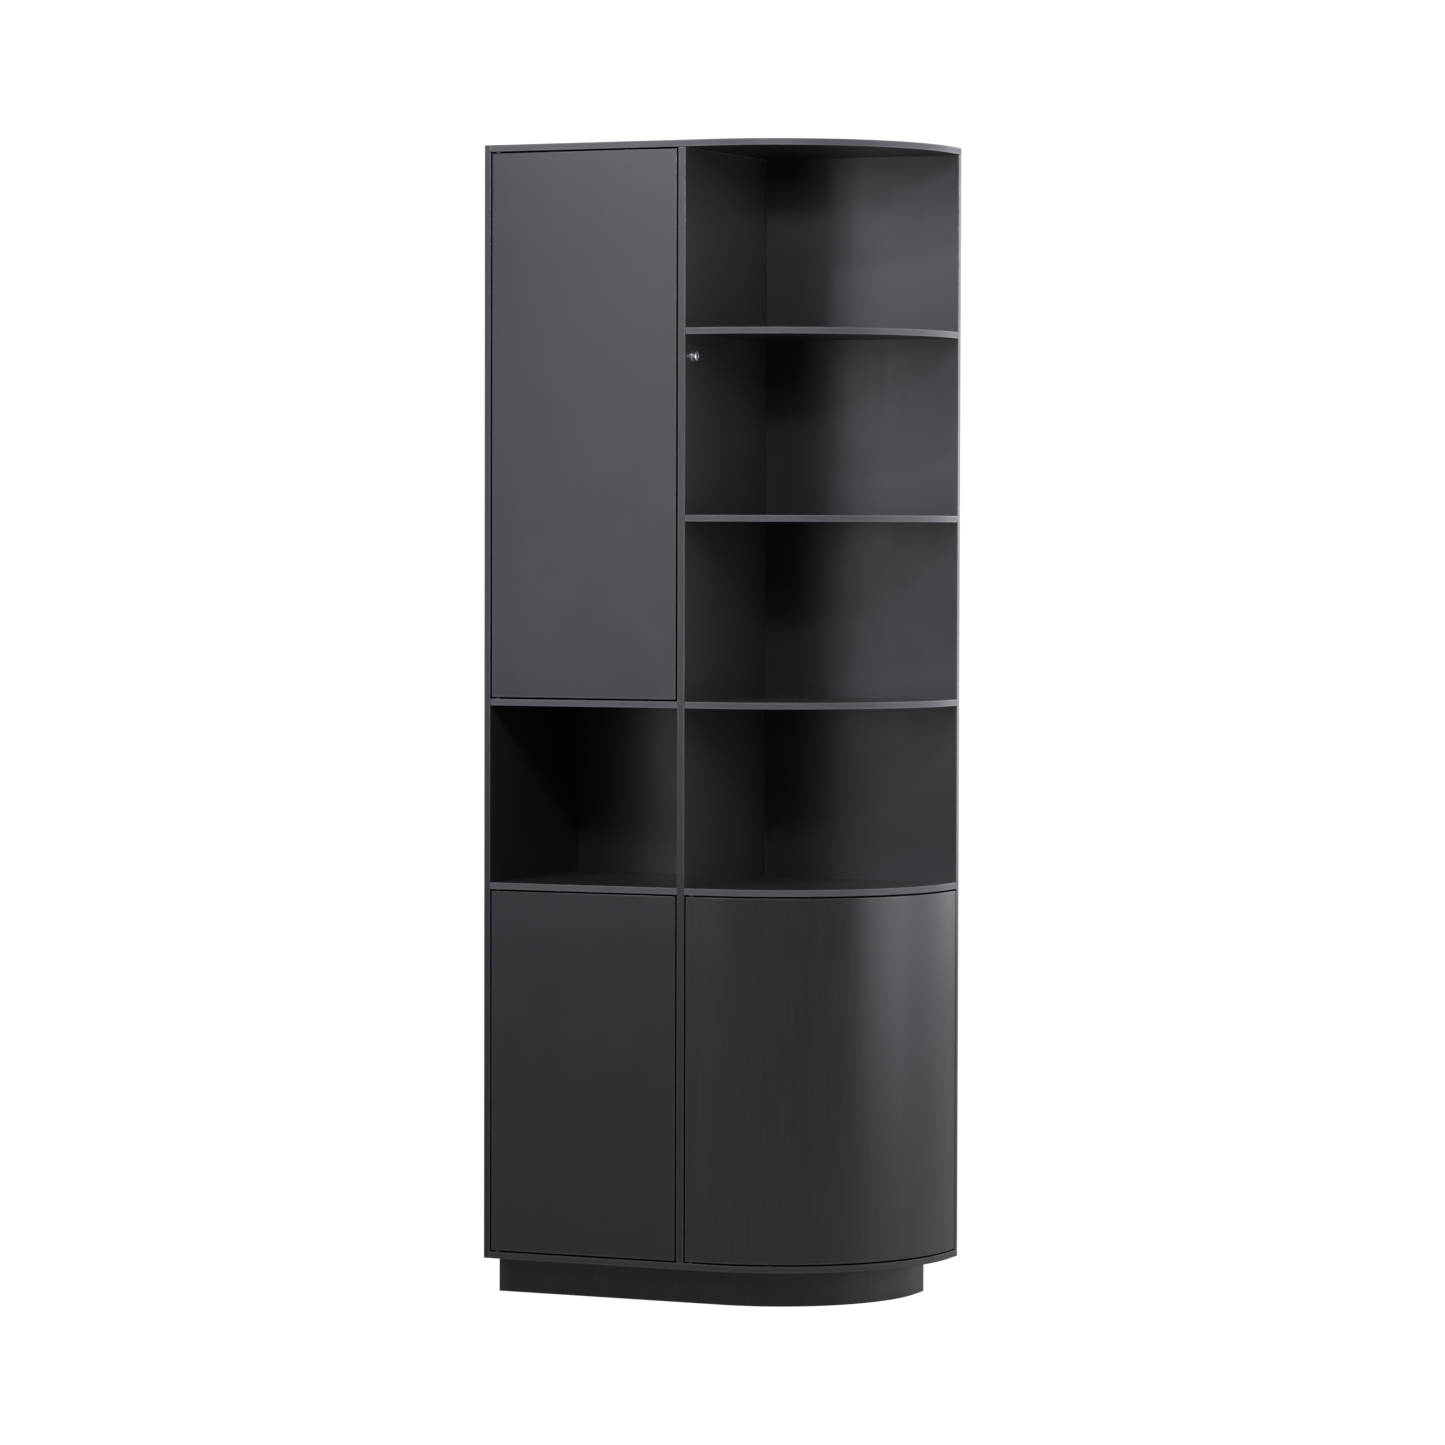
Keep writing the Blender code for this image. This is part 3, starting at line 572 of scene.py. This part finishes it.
def ease_and_band(piece, broad, face_finish, band_finish, radius=ARRIS_RADIUS, steps=3,
                  wear_width=WEAR_WIDTH):
    """Round the arrises, mark the band and the wear, and give each face its finish.

    broad is a test that says which faces get the face finish. The rest get the band finish.
    """
    piece.data.materials.append(face_finish)
    piece.data.materials.append(band_finish)
    edit(piece, "EDGE")
    bpy.ops.mesh.select_all(action="SELECT")
    bpy.ops.mesh.remove_doubles(threshold=WELD)
    bpy.ops.mesh.normals_make_consistent(inside=False)
    leave_edit()
    soften(piece, radius, steps)
    choose_faces(piece, lambda face: shortest_side(piece, face) > radius)
    bpy.ops.mesh.inset(thickness=BAND_SHOWING, use_even_offset=True)
    leave_edit()
    for face in piece.data.polygons:
        face.material_index = 0 if face.select and broad(face) else 1
    arris = piece.data.attributes.new("arris", "FLOAT", "POINT")
    arris.data.foreach_set("value", [1.0] * len(piece.data.vertices))
    edit(piece)
    bpy.ops.mesh.inset(thickness=wear_width, use_even_offset=True)
    leave_edit()
    arris = piece.data.attributes["arris"]
    for face in piece.data.polygons:
        if face.select:
            for index in face.vertices:
                arris.data[index].value = 0.0
    bpy.ops.object.shade_smooth_by_angle(angle=CREASE)


def set_up(piece, body, slot, *stands_for):
    """Tie a finished piece to its body and hide the CAD nodes that it stands for. The slot is not
    used.
    """
    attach(piece, body)
    if stands_for:
        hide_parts(*stands_for)
    print(piece.name, len(piece.data.polygons), "faces",
          [round(side * 1000, 1) for side in piece.dimensions], "mm")


def faces_along(axis):
    """A test for the faces that look along one direction."""
    return lambda face: abs(face.normal[axis]) > FACING


X, Y, Z = 0, 1, 2

# %% [markdown]
# ## The upright boards
# The left side and the divider are plain boards that stand on edge. Their front edges show as
# thin lighter lines down the cabinet, so the band and its eased arris earn their faces. The
# right back panel closes the rounded column, and its right edge shows beside the curve.

# %% Upright boards
for name, thin in (("left_side_panel", X), ("centre_divider", X), ("right_back_panel", Y)):
    piece = block(name + "_banded", *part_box(name))
    ease_and_band(piece, faces_along(thin), foil_upright, band_upright)
    set_up(piece, "carcass", "back" if thin == Y else "panel", name)

# %% [markdown]
# ## The flat shelves
# Two fixed shelves make the niche, and three more stand behind the flat doors. Their grain
# runs across the cabinet, as the boards were cut.

# %% Flat shelves
for name in ("niche_top_shelf", "niche_bottom_shelf", "upper_inner_shelf_1",
             "upper_inner_shelf_2", "lower_inner_shelf"):
    piece = block(name + "_banded", *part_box(name))
    ease_and_band(piece, faces_along(Z), foil_level, band_painted_sheen)
    set_up(piece, "carcass", "panel", name)


# %% [markdown]
# ## The rounded shelves
# Top, bottom and shelves share one plan: square behind, with the front right corner rounded in
# a large quarter circle. A saw follows a template here. In Blender a flat sheet gets that
# corner by bevelling one point, and is then drawn up to the board's thickness. The radius is
# read from the CAD board: it is how far the straight front stops short of the right end.

# %% Rounded blank
CURVE_STEPS = 72
ON_LINE = 0.00001                    # m, how near a point is to a line that it lies on
NEAR = 0.0001                        # m, how near a point is to an end that it belongs to


def straight_front_end(node):
    """Where the straight front edge of a rounded board ends, along x."""
    low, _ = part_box(node)
    return max(v.co.x for v in nodes[node].data.vertices if v.co.y < low.y + ON_LINE)


def rounded_blank(name, node):
    """A board with its front right corner rounded, the size of the CAD board."""
    low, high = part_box(node)
    radius = high.x - straight_front_end(node)
    bpy.ops.object.select_all(action="DESELECT")
    bpy.ops.mesh.primitive_plane_add(
        size=1, location=((low.x + high.x) / 2, (low.y + high.y) / 2, low.z))
    piece = bpy.context.object
    piece.name = piece.data.name = name
    piece.scale = (high.x - low.x, high.y - low.y, 1)
    bpy.ops.object.transform_apply(location=True, rotation=True, scale=True)
    edit(piece, "VERT")
    bpy.ops.mesh.select_all(action="DESELECT")
    leave_edit()
    for point in piece.data.vertices:
        point.select = point.co.x > high.x - NEAR and point.co.y < low.y + NEAR
    edit(piece, "VERT")
    bpy.ops.mesh.bevel(offset=radius, segments=CURVE_STEPS, affect="VERTICES", profile=0.5,
                       clamp_overlap=False)
    bpy.ops.mesh.select_mode(type="FACE")
    bpy.ops.mesh.select_all(action="SELECT")
    draw_out((0, 0, high.z - low.z))
    leave_edit()
    return piece


# %% Rounded shelves
for name in ("top_panel", "bottom_panel", "curved_shelf_1", "curved_shelf_2", "curved_shelf_3",
             "curved_shelf_4", "curved_inner_shelf"):
    piece = rounded_blank(name + "_banded", name)
    # The bottom panel's band carries painted shade, and the other bands carry painted sheen.
    band = band_painted_shade if name == "bottom_panel" else band_painted_sheen
    ease_and_band(piece, faces_along(Z), foil_level, band)
    set_up(piece, "carcass", "panel", name)


# %% [markdown]
# ## The doors
# The flat doors are inset slabs with a fine even gap all round. The curved door and the front
# of the plinth are bent: a board's end is drawn along the straight front, turned a quarter
# turn about the centre of the corner, and drawn on to the right end. Spin does the bend, which
# keeps the thickness even, as a former does in the workshop.

# %% Flat doors
for name in ("upper_left_door", "lower_left_door"):
    piece = block(name + "_slab", *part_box(name))
    ease_and_band(piece, faces_along(Y), foil_upright, band_upright)
    set_up(piece, name, "panel", name)


# %% Bent boards
THINNEST_BOARD = 0.001


def bent_board(name, node):
    """A board of even thickness bent round the corner, the size of the CAD piece."""
    low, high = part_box(node)
    bend_start = straight_front_end(node)
    left_end = [v.co.y for v in nodes[node].data.vertices if v.co.x < low.x + ON_LINE]
    thickness = min(y for y in left_end if y > low.y + THINNEST_BOARD) - low.y
    radius = high.x - bend_start
    centre = (bend_start, low.y + radius, low.z)
    bpy.ops.object.select_all(action="DESELECT")
    bpy.ops.mesh.primitive_plane_add(
        size=1, location=(low.x, low.y + thickness / 2, (low.z + high.z) / 2),
        rotation=(0, math.pi / 2, 0))
    piece = bpy.context.object
    piece.name = piece.data.name = name
    piece.scale = (high.z - low.z, thickness, 1)
    bpy.ops.object.transform_apply(location=True, rotation=True, scale=True)
    edit(piece)
    bpy.ops.mesh.select_all(action="SELECT")
    draw_out((bend_start - low.x, 0, 0))
    bpy.ops.mesh.spin(steps=CURVE_STEPS, angle=math.pi / 2, center=centre, axis=(0, 0, -1))
    draw_out((0, high.y - centre[1], 0))
    leave_edit()
    return piece


def bent_faces(node):
    """A test for the front and back faces of a bent board, not its edges or ends."""
    low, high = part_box(node)

    def broad(face):
        middle = face.center
        is_end = middle.x < low.x + NEAR or middle.y > high.y - NEAR
        return abs(face.normal.z) < 0.5 and not is_end
    return broad


# %% Curved door and plinth front
piece = bent_board("curved_door_bent", "curved_door")
ease_and_band(piece, bent_faces("curved_door"), foil_bent, band_upright)
set_up(piece, "curved_door", "panel", "curved_door")
piece = bent_board("plinth_front_bent", "plinth_front_fascia")
ease_and_band(piece, bent_faces("plinth_front_fascia"), plinth_foil, plinth_foil)
set_up(piece, "carcass", "plinth", "plinth_front_fascia")

# %% [markdown]
# ## The rest of the plinth
# Behind the bent front, straight boards make a box with two rails under the floor of the
# cabinet. They are cut from the same foiled board.

# %% Plinth boards
for name, thin in (("plinth_left_board", X), ("plinth_back_board", Y), ("plinth_rail_left", X),
                   ("plinth_rail_centre", X)):
    piece = block(name + "_banded", *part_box(name))
    ease_and_band(piece, faces_along(thin), plinth_foil, plinth_foil)
    set_up(piece, "carcass", "plinth", name)

# %% [markdown]
# ## The hardboard back
# The left column is closed by a three millimetre hardboard. Its front has the same foil as the
# boards, and its back is left brown.

# %% Hardboard back
THIN_ARRIS = 0.0002
THIN_WEAR = 0.0008
piece = block("left_back_hardboard", *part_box("left_back_panel"))
ease_and_band(piece, lambda face: face.normal.y < -FACING, foil_upright, hardboard,
              THIN_ARRIS, 2, THIN_WEAR)
set_up(piece, "carcass", "back", "left_back_panel")

# %% [markdown]
# ## Turned and cut fittings
# The fittings are small but catch the light, so they are shaped as they are made. A rod is the
# start of each turned one, and a recess is cut with a Boolean, which leaves crisp walls as a
# punch does. The cutter stands a little proud of the face that it cuts, so that no skin is
# left, and is removed at once.

# %% Fitting helpers
CLEARANCE = 0.0003                   # round a fitting in its hole
OVERRUN = 0.002                      # how far a cutter stands proud of the face


def rod(name, foot, way, radius, length, sides=40):
    """A round bar that starts at foot and runs along way."""
    way = Vector(way)
    bpy.ops.object.select_all(action="DESELECT")
    bpy.ops.mesh.primitive_cylinder_add(vertices=sides, radius=radius, depth=length)
    piece = bpy.context.object
    piece.name = piece.data.name = name
    piece.rotation_mode = "QUATERNION"
    piece.rotation_quaternion = way.to_track_quat("Z", "Y")
    piece.location = Vector(foot) + way * length / 2
    bpy.ops.object.transform_apply(location=True, rotation=True, scale=True)
    return piece


def block_between(name, a, b):
    """A block between any two opposite corners."""
    return block(name, Vector(map(min, a, b)), Vector(map(max, a, b)))


def combine(piece, other, operation):
    """Weld another shape to a piece or cut it out, and clear the other away."""
    boolean = piece.modifiers.new("boolean", "BOOLEAN")
    boolean.operation = operation
    boolean.solver = "EXACT"
    boolean.object = other
    boolean.material_mode = "TRANSFER"
    select_only(piece)
    bpy.ops.object.modifier_apply(modifier=boolean.name)
    bpy.data.objects.remove(other)


def cut(piece, cutter):
    """Cut one shape out of another."""
    combine(piece, cutter, "DIFFERENCE")


def round_rim(piece, at, way, radius, steps=3):
    """Round the rim of the face that lies at a point and looks along way."""
    way = Vector(way)
    choose_faces(piece, lambda face: face.normal.dot(way) > FACING
                 and abs((face.center - Vector(at)).dot(way)) < NEAR)
    bpy.ops.mesh.bevel(offset=radius, segments=steps, profile=0.5, affect="EDGES")
    leave_edit()


def cross_recess(piece, face_point, way, arm, half_width, depth):
    """Cut a cross into a head: two crossing slots, square to way."""
    way = Vector(way)
    side = way.orthogonal().normalized()
    for one, other in ((side, way.cross(side)), (way.cross(side), side)):
        reach = one * arm + other * half_width
        cut(piece, block_between("slot", Vector(face_point) - reach - way * depth,
                                 Vector(face_point) + reach + way * depth))


def finish_with(piece, finish):
    """Give a piece one finish all over, and smooth its round faces."""
    piece.data.materials.clear()
    piece.data.materials.append(finish)
    select_only(piece)
    bpy.ops.object.shade_smooth_by_angle(angle=CREASE)


def ends_along(node, way):
    """The middles of a CAD node's two ends along an axis, in the order that they come."""
    low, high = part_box(node)
    half = way * abs((high - low).dot(way)) / 2
    return (low + high) / 2 - half, (low + high) / 2 + half


# %% [markdown]
# ## Connector bolts
# Each latch housing behind the divider is held by a bolt that shows bright on the divider's
# right face. A thin round flange lies on the board, and a short barrel with a cross recess
# stands on it. The flange comes first. Its back is inset and drawn out into the shank, and
# its face is inset and drawn out into the barrel.

# %% Connector bolts
RIGHT = Vector((1, 0, 0))
FLANGE_THICKNESS = 0.0016
FLANGE_ROUNDING = 0.0009
BARREL_SHARE = 0.5                   # of the flange's radius
BARREL_ROUNDING = 0.0008
SHANK_RADIUS = 0.0025
RECESS_DEPTH = 0.0022
ARM_SHARE = 0.55                     # of a head's radius, for a cross recess
SLOT_SHARE = 0.2                     # half of a slot's width
_, divider_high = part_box("centre_divider")
for door in ("upper_left_door", "lower_left_door"):
    low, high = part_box(door + "_latch_bolt")
    start, end = ends_along(door + "_latch_bolt", RIGHT)
    flange_radius = (high.z - low.z) / 2
    barrel_radius = flange_radius * BARREL_SHARE
    seat = Vector((divider_high.x + CLEARANCE, end.y, end.z))
    rim = seat + RIGHT * FLANGE_THICKNESS
    bolt = rod(door + "_connector_bolt", seat, RIGHT, flange_radius, FLANGE_THICKNESS, 48)
    choose_faces(bolt, lambda face: face.normal.x < -FACING)
    bpy.ops.mesh.inset(thickness=flange_radius - SHANK_RADIUS)
    draw_out(start - seat)
    leave_edit()
    round_rim(bolt, rim, RIGHT, FLANGE_ROUNDING, 4)
    choose_faces(bolt, lambda face: face.normal.x > FACING and abs(face.center.x - rim.x) < NEAR)
    bpy.ops.mesh.inset(thickness=flange_radius - FLANGE_ROUNDING - barrel_radius)
    draw_out(end - rim)
    leave_edit()
    round_rim(bolt, end, RIGHT, BARREL_ROUNDING, 4)
    cross_recess(bolt, end, RIGHT, barrel_radius * ARM_SHARE, barrel_radius * SLOT_SHARE,
                 RECESS_DEPTH)
    finish_with(bolt, zinc)
    set_up(bolt, "carcass", "steel", door + "_latch_bolt")

# %% [markdown]
# ## Cam locks
# Under each rounded shelf a zinc cam, turned with a screwdriver, pulls the shelf to the
# divider. It sits in a flat bored hole. The hole is cut in the finished shelf, after its
# arrises were eased, because a drill leaves a sharp edge. Its walls show the bare board.

# %% Cam locks
DOWN = Vector((0, 0, -1))
CAM_ROUNDING = 0.0004
CAM_ARM_SHARE = 0.72
CAM_SLOT_HALF = 0.0007
CAM_SLOT_DEPTH = 0.0016
for number in range(1, 5):
    low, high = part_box(f"cam_lock_{number}")
    radius = (high.x - low.x) / 2
    _, bottom = ends_along(f"cam_lock_{number}", DOWN)
    depth = high.z - low.z
    bore = rod("bore", bottom + DOWN * OVERRUN, -DOWN, radius + CLEARANCE,
               depth + OVERRUN + CLEARANCE)
    bore.data.materials.append(hardboard)
    cut(bpy.data.objects[f"curved_shelf_{number}_banded"], bore)
    cam = rod(f"cam_lock_{number}_turned", bottom, -DOWN, radius, depth)
    round_rim(cam, bottom, DOWN, CAM_ROUNDING, 2)
    cross_recess(cam, bottom, DOWN, radius * CAM_ARM_SHARE, CAM_SLOT_HALF, CAM_SLOT_DEPTH)
    finish_with(cam, zinc)
    set_up(cam, "carcass", "steel", f"cam_lock_{number}")

# %% [markdown]
# ## Push latches
# A door has no handle: pressed, it pushes a sprung plunger in, and springs open again. The
# housing is moulded nylon with softened edges, a round collar where the plunger leaves it and
# a row of shallow grooves for grip. The bore is deep enough for the plunger's travel. The
# plunger is steel with a rounded nose.

# %% Latch housings
WAYS = {"upper_left_door": Vector((0, 1, 0)), "lower_left_door": Vector((0, 1, 0)),
        "curved_door": Vector((-1, 0, 0))}
HOUSING_ROUNDING = 0.0014
COLLAR_LENGTH = 0.003
COLLAR_ROOT = 0.001                  # inside the body
COLLAR_SHARE = 0.42                  # of the housing's width
COLLAR_ROUNDING = 0.0006
PLUNGER_TRAVEL = 0.003
GROOVES = 7
GROOVE_SPACING = 0.0032
GROOVE_HALF_WIDTH = 0.0007
GROOVE_DEPTH = 0.0006
GROOVE_REACH = 0.36                  # of the housing's width, either way


def cut_grooves(housing, middle, into, free, width):
    """Cut the row of grooves into the face that looks along free."""
    reach = into * GROOVE_HALF_WIDTH + into.cross(free) * width * GROOVE_REACH
    for count in range(GROOVES):
        at = middle + into * (count - (GROOVES - 1) / 2) * GROOVE_SPACING + free * width / 2
        cut(housing, block_between("groove", at - reach - free * GROOVE_DEPTH,
                                   at + reach + free * OVERRUN))


def latch_housing(door, into):
    """A body with soft edges, a collar where the plunger leaves it, grooves and a bore."""
    low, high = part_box(door + "_latch_housing")
    width = high.z - low.z
    nose, tail = ends_along(door + "_latch_housing", into)
    _, inside = ends_along(door + "_latch_plunger", into)
    plunger_low, plunger_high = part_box(door + "_latch_plunger")
    plunger_radius = (plunger_high.z - plunger_low.z) / 2
    # The body stops short of the collar at the plunger's end.
    shorter = into * COLLAR_LENGTH
    housing = block(door + "_latch_body", low + Vector([max(step, 0) for step in shorter]),
                    high + Vector([min(step, 0) for step in shorter]))
    soften(housing, HOUSING_ROUNDING, 3)
    free = DOWN if door == "curved_door" else -RIGHT
    cut_grooves(housing, (nose + tail) / 2, into, free, width)
    collar = rod("collar", nose, into, width * COLLAR_SHARE, COLLAR_LENGTH + COLLAR_ROOT)
    round_rim(collar, nose, -into, COLLAR_ROUNDING)
    combine(housing, collar, "UNION")
    bore_depth = (inside - nose).dot(into) + PLUNGER_TRAVEL + CLEARANCE
    cut(housing, rod("bore", nose - into * OVERRUN, into, plunger_radius + CLEARANCE,
                     bore_depth + OVERRUN))
    finish_with(housing, nylon)
    set_up(housing, "carcass", "nylon", door + "_latch_housing")


# %% Latch plungers
NOSE_ROUNDING = 0.0018


def latch_plunger(door, into):
    """A steel plunger with a rounded nose, on its own body."""
    low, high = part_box(door + "_latch_plunger")
    tip, inside = ends_along(door + "_latch_plunger", into)
    plunger = rod(door + "_plunger_turned", tip, into, (high.z - low.z) / 2,
                  (inside - tip).length)
    round_rim(plunger, tip, -into, NOSE_ROUNDING, 4)
    finish_with(plunger, zinc)
    set_up(plunger, door + "_plunger", "steel", door + "_latch_plunger")


for door, into in WAYS.items():
    latch_housing(door, into)
    latch_plunger(door, into)

# %% [markdown]
# ## Screws
# One pan head screw is modelled: a disc with a domed rim and a cross recess. It is copied to
# each place with its own mesh, turned to face out, and the copies of a group are joined, as
# they are one line in the parts list. They hold the bearers and the right back panel.

# %% Screw pattern
SCREW_RADIUS = 0.0032
SCREW_THICKNESS = 0.0014
DOME_SHARE = 0.55                    # of the head's thickness


def screw_pattern(radius, thickness):
    """A screw head that looks along +Z, its seat on z = 0."""
    up = (0, 0, 1)
    head = rod("screw_pattern", (0, 0, 0), up, radius, thickness, 28)
    crown = (0, 0, thickness)
    round_rim(head, crown, up, thickness * DOME_SHARE)
    cross_recess(head, crown, up, radius * ARM_SHARE, radius * 0.13, thickness * 0.6)
    finish_with(head, zinc)
    return head


def join(pieces, name):
    """Make several pieces one."""
    bpy.ops.object.select_all(action="DESELECT")
    for one in pieces:
        one.select_set(True)
    bpy.context.view_layer.objects.active = pieces[0]
    bpy.ops.object.transform_apply(location=True, rotation=True, scale=True)
    bpy.ops.object.join()
    pieces[0].name = pieces[0].data.name = name
    return pieces[0]


def screws(name, seats, radius=SCREW_RADIUS, thickness=SCREW_THICKNESS):
    """Copies of the pattern at (point, way) seats on the carcass, joined into one piece."""
    pattern = screw_pattern(radius, thickness)
    copies = []
    for point, way in seats:
        one = pattern.copy()
        one.data = pattern.data.copy()
        bpy.context.scene.collection.objects.link(one)
        one.rotation_mode = "QUATERNION"
        one.rotation_quaternion = Vector(way).to_track_quat("Z", "Y")
        one.location = point
        copies.append(one)
    bpy.data.objects.remove(pattern)
    set_up(join(copies, name), "carcass", "steel")


# %% [markdown]
# ## Shelf bearers
# The loose shelves rest on steel angles screwed to the walls. The horizontal leg is a thin
# bar. It is cut lengthways by a plane next to the wall, and the narrow strip is drawn down
# into the other leg. The edges are eased as a press leaves them.

# %% Shelf bearers
BEARER_STEEL = 0.0015
PRESSED_ROUNDING = 0.0003
BEARER_SCREW_IN = 0.035
OUT = {"left": RIGHT, "right": -RIGHT, "back": Vector((0, -1, 0))}
for name in [n for n in nodes if "_bearer_" in n]:
    low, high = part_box(name)
    out = OUT[name.split("_")[-1]]
    wall = low if out == RIGHT else high
    wall_line = wall + out * BEARER_STEEL
    bearer = block(name + "_angle", Vector((low.x, low.y, high.z - BEARER_STEEL)), high)
    edit(bearer)
    bpy.ops.mesh.select_all(action="SELECT")
    bpy.ops.mesh.bisect(plane_co=wall_line, plane_no=out)
    leave_edit()
    choose_faces(bearer, lambda face: face.normal.z < -FACING
                 and abs((face.center - wall).dot(out)) < BEARER_STEEL)
    draw_out((0, 0, low.z - high.z + BEARER_STEEL))
    leave_edit()
    soften(bearer, PRESSED_ROUNDING, 2)
    finish_with(bearer, zinc)
    set_up(bearer, "carcass", "steel", name)
    run = Vector((0, 1, 0)) if out.x else RIGHT
    first, last = ends_along(name, run)
    seats = []
    for seat in (first + run * BEARER_SCREW_IN, last - run * BEARER_SCREW_IN):
        seats.append((seat - out * (seat - wall_line).dot(out), out))
    screws(name + "_screws", seats)

# %% [markdown]
# ## Strike plates
# A plunger would wear a hole in the foil, so it meets a small pressed steel plate on the door.

# %% Strike plates
for door in WAYS:
    plate = block(door + "_strike_pressed", *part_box(door + "_strike_plate"))
    soften(plate, PRESSED_ROUNDING, 2)
    finish_with(plate, zinc)
    set_up(plate, door, "steel", door + "_strike_plate")

# %% [markdown]
# ## The back
# The right back panel is screwed into the rear edge of each rounded shelf. The hardboard is
# nailed all round and into the two niche shelves. A nail driven home sinks a little, so each
# one lies in a small dent, cut into the board, and nothing stands proud of it.

# %% Back screws
BACK_SCREW_RADIUS = 0.0038
BACK_SCREW_THICKNESS = 0.0008
low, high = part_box("right_back_panel")
seats = []
for number in range(1, 5):
    shelf_low, shelf_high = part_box(f"curved_shelf_{number}")
    for share in (0.1, 0.5, 0.9):
        seats.append((Vector((low.x + (high.x - low.x) * share, high.y,
                              (shelf_low.z + shelf_high.z) / 2)), (0, 1, 0)))
screws("right_back_screws", seats, BACK_SCREW_RADIUS, BACK_SCREW_THICKNESS)

# %% Nail places
NAIL_SPACING = 0.19
NAIL_EDGE = 0.006                    # from the ends of the board
DIVIDER_NAIL_EDGE = 0.0035           # the divider gives it less room
low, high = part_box("left_back_panel")
side_line = (low.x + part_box("left_side_panel")[1].x) / 2
divider_line = high.x - DIVIDER_NAIL_EDGE
upright_count = round((high.z - low.z) / NAIL_SPACING)
places = []
for count in range(upright_count + 1):
    z = low.z + NAIL_EDGE + (high.z - low.z - 2 * NAIL_EDGE) * count / upright_count
    places += [(side_line, z), (divider_line, z)]
level_lines = [low.z + NAIL_EDGE, high.z - NAIL_EDGE]
for shelf in ("niche_top_shelf", "niche_bottom_shelf"):
    level_lines.append(sum(corner.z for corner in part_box(shelf)) / 2)
for z in level_lines:
    places += [(side_line + (divider_line - side_line) * share, z) for share in (0.33, 0.67)]
print(len(places), "nails")

# %% Dents and nails
NAIL_RADIUS = 0.0015
NAIL_LENGTH = 0.002
NAIL_ROUNDING = 0.0003
SUNK = 0.0001
DENT_DEPTH = 0.0004
FRONT = (0, -1, 0)
dents, nails = [], []
for x, z in places:
    dents.append(rod("dent", (x, high.y + OVERRUN, z), FRONT, NAIL_RADIUS + CLEARANCE,
                     DENT_DEPTH + OVERRUN, 16))
    nails.append(rod("nail", (x, high.y - SUNK, z), FRONT, NAIL_RADIUS, NAIL_LENGTH, 16))
all_dents = join(dents, "dents")
all_dents.data.materials.append(hardboard)
cut(bpy.data.objects["left_back_hardboard"], all_dents)
all_nails = join(nails, "left_back_nails")
choose_faces(all_nails, lambda face: face.normal.y > FACING)
bpy.ops.mesh.bevel(offset=NAIL_ROUNDING, segments=2, profile=0.5, affect="EDGES")
leave_edit()
finish_with(all_nails, zinc)
set_up(all_nails, "carcass", "steel")

# %% [markdown]
# ## Pins and bushes
# The pivot pins and their bushes sit in gaps of a few millimetres and have the right shape in
# the frame, so they stay and only get their steel or nylon.

# %% Pins and bushes
for name, node in nodes.items():
    if not node.hide_render:
        finish, slot = (nylon, "nylon") if name.endswith("_bush") else (dark_steel, "steel")
        node.data.materials.clear()
        node.data.materials.append(finish)
print("kept from the frame:", sum(not node.hide_render for node in nodes.values()))
